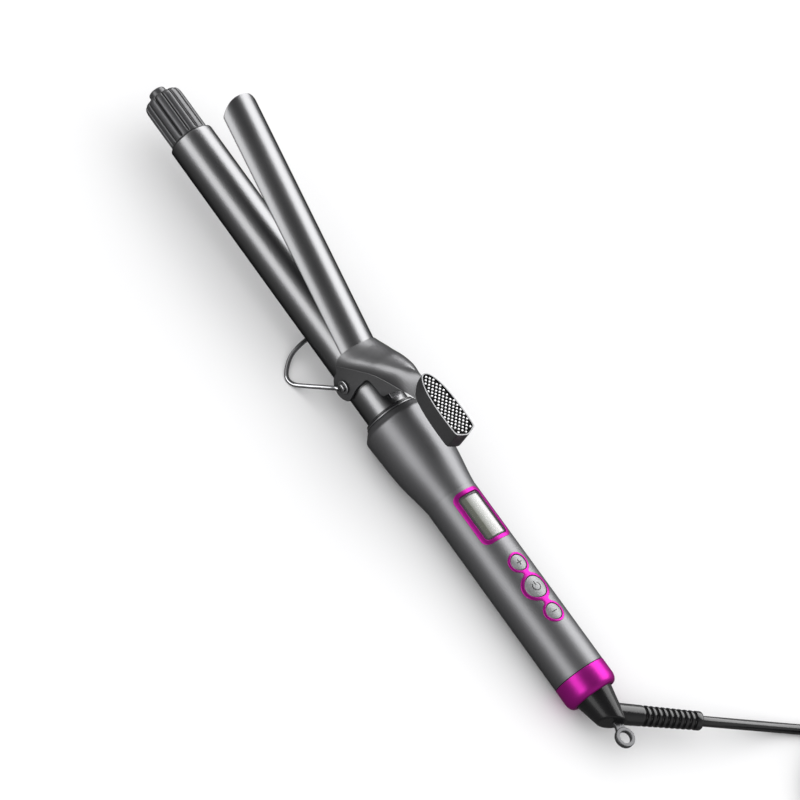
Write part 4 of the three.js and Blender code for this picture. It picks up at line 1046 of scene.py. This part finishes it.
def key_mesh(cx, R):
    segs = 72
    verts, rings = [], []
    rows = [(R, None, -4.2), (R, None, -0.45), (R - 0.02, None, -0.30), (R - 0.09, None, -0.15), (R - 0.22, None, -0.05), (R - 0.42, None, 0.0)]
    for r, _, dz in rows:
        rings.append(list(range(len(verts), len(verts) + segs)))
        for k in range(segs):
            a = 2 * math.pi * k / segs
            x, y = cx + r * math.cos(a), r * math.sin(a)
            z = key_point(cx, R, x, y) + dz if dz > -4 else 10.3
            verts.append((x, y, z))
    r = R - 0.42
    while r > 0.7:
        r -= 0.6
        r = max(r, 0.35)
        rings.append(list(range(len(verts), len(verts) + segs)))
        for k in range(segs):
            a = 2 * math.pi * k / segs
            x, y = cx + r * math.cos(a), r * math.sin(a)
            verts.append((x, y, key_point(cx, R, x, y)))
    faces = []
    for a, b in zip(rings, rings[1:]):
        for k in range(segs):
            j = (k + 1) % segs
            faces.append((a[k], a[j], b[j], b[k]))
    faces.append(tuple(rings[-1]))
    faces.append(tuple(reversed(rings[0])))
    return verts, faces


def ribbon(points, cx, R, w, h=0.10, closed=False):
    """A raised line on a key, following its top."""
    n = len(points)
    loops = []
    for i, (x, y) in enumerate(points):
        a = points[i - 1] if (i or closed) else points[0]
        b = points[(i + 1) % n] if (i + 1 < n or closed) else points[-1]
        tx, ty = b[0] - a[0], b[1] - a[1]
        l = math.hypot(tx, ty) or 1
        nx, ny = -ty / l * w / 2, tx / l * w / 2
        loop = []
        for off, up in ((1, -0.1), (1, h * 0.5), (0.6, h), (-0.6, h), (-1, h * 0.5), (-1, -0.1)):
            px, py = x + nx * off, y + ny * off
            loop.append((px, py, key_point(cx, R, px, py) + up))
        loops.append(loop)
    if closed:
        m = 6
        verts = [p for l in loops for p in l]
        faces = []
        for s in range(n):
            t = (s + 1) % n
            for i in range(m):
                j = (i + 1) % m
                faces.append((s * m + i, s * m + j, t * m + j, t * m + i))
        return verts, faces
    return loft(loops)


def seg(x0, y0, x1, y1, n=8):
    return [(x0 + (x1 - x0) * i / n, y0 + (y1 - y0) * i / n) for i in range(n + 1)]


marks = {
    "plus": [seg(KEYS[0] - 1.6, 0, KEYS[0] + 1.6, 0), seg(KEYS[0], -1.6, KEYS[0], 1.6)],
    "power": [
        [(KEYS[1] + 2.25 * math.cos(math.radians(a)), 2.25 * math.sin(math.radians(a))) for a in range(-142, 143, 10)],
        seg(KEYS[1] - 2.9, 0, KEYS[1] - 0.3, 0),
    ],
    "minus": [seg(KEYS[2], -1.5, KEYS[2], 1.5)],
}
for name, cx, R in (("plus", KEYS[0], 4.4), ("power", KEYS[1], 6.0), ("minus", KEYS[2], 4.4)):
    piece("key_" + name, *key_mesh(cx, R), "key", "key_" + name, ["button_" + name], "key_grey", angle=50)
    piece("mark_" + name, *merge(*[ribbon(p, cx, R, 0.48) for p in marks[name]]), "mark", "key_" + name, (), "key_grey", angle=60)

# ---------------------------------------------------------------- end band, tail, loop, strain relief
band = [(339, 11.3), (339, 12.0), (345.7, 12.0), (346.05, 12.6), (346.05, 14.1), (346.12, 14.28), (346.3, 14.35), (350, 14.35), (354.2, 14.35), (355.0, 14.3), (355.9, 14.12), (356.8, 13.82), (357.6, 13.4), (358.2, 12.95), (358.6, 12.5), (358.8, 12.0), (358.8, 10.85), (357.2, 10.8), (357.2, 11.3)]
piece("band", *lathe(band, 160, True), "magenta", "root", ["end_band"], "accent_magenta", angle=40)


def make_tail():
    """The cone is cut off slantwise; its rows run from the band to the slanted rim and over its rounded edge."""
    segs, rows, r = 128, 14, 1.1

    def cone(x):
        return 10.45 - 4 / 18.5 * (x - 357.5)

    def face_x(y):
        return 375.6 + 0.627 * y

    verts = []
    rings = []
    start = [(343, 3.0), (354.6, 3.0), (354.6, 11.0), (356.9, 11.0), (356.9, 10.45)]
    for x, rad in start:
        rings.append(list(range(len(verts), len(verts) + segs)))
        for k in range(segs):
            a = 2 * math.pi * k / segs
            verts.append((x, rad * math.sin(a), rad * math.cos(a)))
    ends = []
    for k in range(segs):
        a = 2 * math.pi * k / segs
        # where the generator at this angle meets the slanted plane
        lo, hi = 357.5, 392.0
        for _ in range(50):
            mid = (lo + hi) / 2
            if mid < face_x(cone(mid) * math.sin(a)):
                lo = mid
            else:
                hi = mid
        ends.append((lo, cone(lo) * math.sin(a), cone(lo) * math.cos(a)))
    mid_face = sum((Vector(p) for p in ends), Vector()) / segs
    # the slanted plane's own middle, so that the fan stays flat
    grid = [[] for _ in range(rows + 7 + 3)]
    for k in range(segs):
        a = 2 * math.pi * k / segs
        end = Vector(ends[k])
        base = Vector((357.5, 10.45 * math.sin(a), 10.45 * math.cos(a)))
        way = (base - end).normalized()
        back = end + way * r
        inn = end + (mid_face - end).normalized() * r
        for t in range(rows):
            grid[t].append(tuple(base + (back - base) * t / (rows - 1)))
        for q in range(1, 8):
            u = q / 7
            grid[rows - 1 + q].append(tuple((1 - u) ** 2 * back + 2 * u * (1 - u) * end + u * u * inn))
        for q in range(3):
            grid[rows + 7 + q].append(tuple(inn + (mid_face - inn) * (q + 1) / 4))
    for row in grid:
        rings.append(list(range(len(verts), len(verts) + segs)))
        verts += row
    verts.append(tuple(mid_face))
    verts.append((343, 0, 0))
    faces = []
    for a, b in zip(rings, rings[1:]):
        for k in range(segs):
            j = (k + 1) % segs
            faces.append((a[k], b[k], b[j], a[j]))
    for k in range(segs):
        j = (k + 1) % segs
        faces.append((rings[-1][k], len(verts) - 2, rings[-1][j]))
        faces.append((rings[0][k], rings[0][j], len(verts) - 1))
    return verts, faces


piece("tail", *make_tail(), "black", "swivel", ["tail_swivel"], "gloss_black", angle=34)

ring = soften([(3.2, -1.2), (5.3, -1.2), (5.3, 1.2), (3.2, 1.2)], 0.45, 5, True)
segs = 96
verts, faces = [], []
for k in range(segs):
    a = 2 * math.pi * k / segs
    for r, z in ring:
        verts.append((LOOP_X + r * math.cos(a), r * math.sin(a), z))
m = len(ring)
for k in range(segs):
    j = (k + 1) % segs
    for i in range(m):
        t = (i + 1) % m
        faces.append((k * m + i, j * m + i, j * m + t, k * m + t))
neck_out = smooth_line([(375.2, -0.6), (377.4, -0.9), (379.3, -1.7), (380.6, -3.1), (380.9, -2.2), (380.4, -1.0), (380.3, 0), (380.4, 1.2), (381.0, 2.4), (381.0, 3.2), (379.8, 3.5), (378.8, 3.9), (377.6, 3.6)], 4, True)
neck = loft([[(*p, -1.0) for p in inward(neck_out, 0.15)], [(*p, -0.85) for p in neck_out], [(*p, 0.85) for p in neck_out], [(*p, 1.0) for p in inward(neck_out, 0.15)]])
piece("loop", *merge((verts, faces), neck), "loop", "swivel", ["hanging_loop"], "gloss_black", angle=45)

R0, R1, END = 5.45, 4.8, 53.0
prof = [(2.0, 0), (2.0, R0)]
g0, pitch = 19.2, 3.15
prof += [(10, R0), (15, R0 - 0.07), (18.4, R0 - 0.13)]
for i in range(10):
    t = g0 + i * pitch
    r = R0 + (R1 - R0) * (t - 10) / (END - 10)
    prof += [(t - 0.35, r), (t - 0.12, r - 0.06), (t, r - 0.3), (t + 0.08, r - 1.15), (t + 0.3, r - 1.35), (t + 1.3, r - 1.35), (t + 1.52, r - 1.15), (t + 1.6, r - 0.3), (t + 1.72, r - 0.06), (t + 1.95, r)]
prof += [(END - 1.3, R1 + 0.1), (END - 0.7, R1 - 0.02), (END - 0.25, R1 - 0.4), (END, R1 - 0.95), (END, 0)]
piece("relief", *moved(lathe(prof, 96), ELBOW), "relief", "swivel", ["strain_relief"], "relief_black", angle=40)

# ---------------------------------------------------------------- pieces that stay as the CAD made them
INSIDE = {
    "aluminium": ["heat_spreader_upper", "heat_spreader_lower"],
    "ceramic": ["ptc_heater", "thermistor"],
    "steel": ["thermal_fuse", "pivot_nut_near", "pivot_nut_far", "tongue_rivet_near", "tongue_rivet_far", "clamp_spring", "board_screw_front", "board_screw_rear"],
    "inner_white": ["heater_lead_live", "swivel_retainer"],
    "inner_black": ["heater_lead_neutral", "barrel_mount", "inner_frame", "relay", "capacitor", "triac", "switch_plus", "switch_power", "switch_minus"],
    "board": ["control_board"],
    "brass": ["slip_ring", "contact_brush_upper", "contact_brush_lower"],
}
for mat, names in INSIDE.items():
    for name in names:
        o = N[name]
        o.data.materials.clear()
        o.data.materials.append(M[mat])
        o.data.polygons.foreach_set("use_smooth", [True] * len(o.data.polygons))
        o.data.set_sharp_from_angle(angle=math.radians(32))

# ---------------------------------------------------------------- floor, light
def floor():
    me = bpy.data.meshes.new("floor")
    me.from_pydata([(-6, -6, 0), (6, -6, 0), (6, 6, 0), (-6, 6, 0)], [], [(0, 1, 2, 3)])
    o = bpy.data.objects.new("floor", me)
    bpy.context.scene.collection.objects.link(o)
    m, t, b = nodes_of("floor_pale")
    b.inputs["Base Color"].default_value = (0.86, 0.86, 0.865, 1)
    b.inputs["Roughness"].default_value = 0.9
    b.inputs["Specular IOR Level"].default_value = 0.05
    me.materials.append(m)
    o.visible_glossy = False
    return o


ground = floor()
world = bpy.data.worlds.new("world")
bpy.context.scene.world = world
world.use_nodes = True
wt = world.node_tree
bg = wt.nodes["Background"]
wtc = wt.nodes.new("ShaderNodeTexCoord")
wsep = wt.nodes.new("ShaderNodeSeparateXYZ")
wt.links.new(wtc.outputs["Generated"], wsep.inputs["Vector"])
wr = wt.nodes.new("ShaderNodeValToRGB")
e = wr.color_ramp.elements
e[0].position, e[0].color = 0.0, (0.14, 0.14, 0.14, 1)
e[1].position, e[1].color = 1.0, (0.16, 0.16, 0.163, 1)
for p, g in ((0.34, 0.27), (0.45, 0.5), (0.5, 0.72), (0.74, 0.8), (0.85, 0.62), (0.94, 0.22)):
    k = e.new(p)
    k.color = (g, g, g, 1)
wmap = wt.nodes.new("ShaderNodeMapRange")
wmap.inputs["From Min"].default_value = -1
wt.links.new(wsep.outputs["Z"], wmap.inputs["Value"])
wt.links.new(wmap.outputs["Result"], wr.inputs["Fac"])
wt.links.new(wr.outputs["Color"], bg.inputs["Color"])
bg.inputs["Strength"].default_value = 1.0

# the two lamps that shape the metal are flagged off the floor, and the floor has a soft one of its own, as in a studio
def lights_only(name, state):
    c = bpy.data.collections.new(name)
    c.objects.link(ground)
    c.collection_objects[0].light_linking.link_state = state
    return c


OFF_FLOOR, FLOOR_ONLY = lights_only("off_the_floor", "EXCLUDE"), lights_only("floor_only", "INCLUDE")


def area(name, direction, dist, sx, sy, power, target=(0, 0, 0.03), on=None):
    d = bpy.data.lights.new(name, "AREA")
    d.shape = "RECTANGLE"
    d.size, d.size_y = sx, sy
    d.energy = power
    o = bpy.data.objects.new(name, d)
    bpy.context.scene.collection.objects.link(o)
    t = Vector(target)
    p = t + Vector(direction).normalized() * dist
    z = (p - t).normalized()
    x = Vector((1, 0, 0))
    x = (x - z * x.dot(z)).normalized()
    y = z.cross(x)
    m = Matrix((x, y, z)).transposed().to_4x4()
    m.translation = p
    o.matrix_world = m
    o.light_linking.receiver_collection = on or OFF_FLOOR
    return o


area("strip", (-0.2, 0.77, 0.61), 1.5, 2.6, 1.35, 68)
area("front", (-0.21, -0.885, 0.41), 1.6, 2.6, 0.95, 31)
area("floor_light", (0, 0, 1), 2.0, 6.0, 6.0, 112, on=FLOOR_ONLY)
bpy.context.scene.view_settings.view_transform = "Standard"
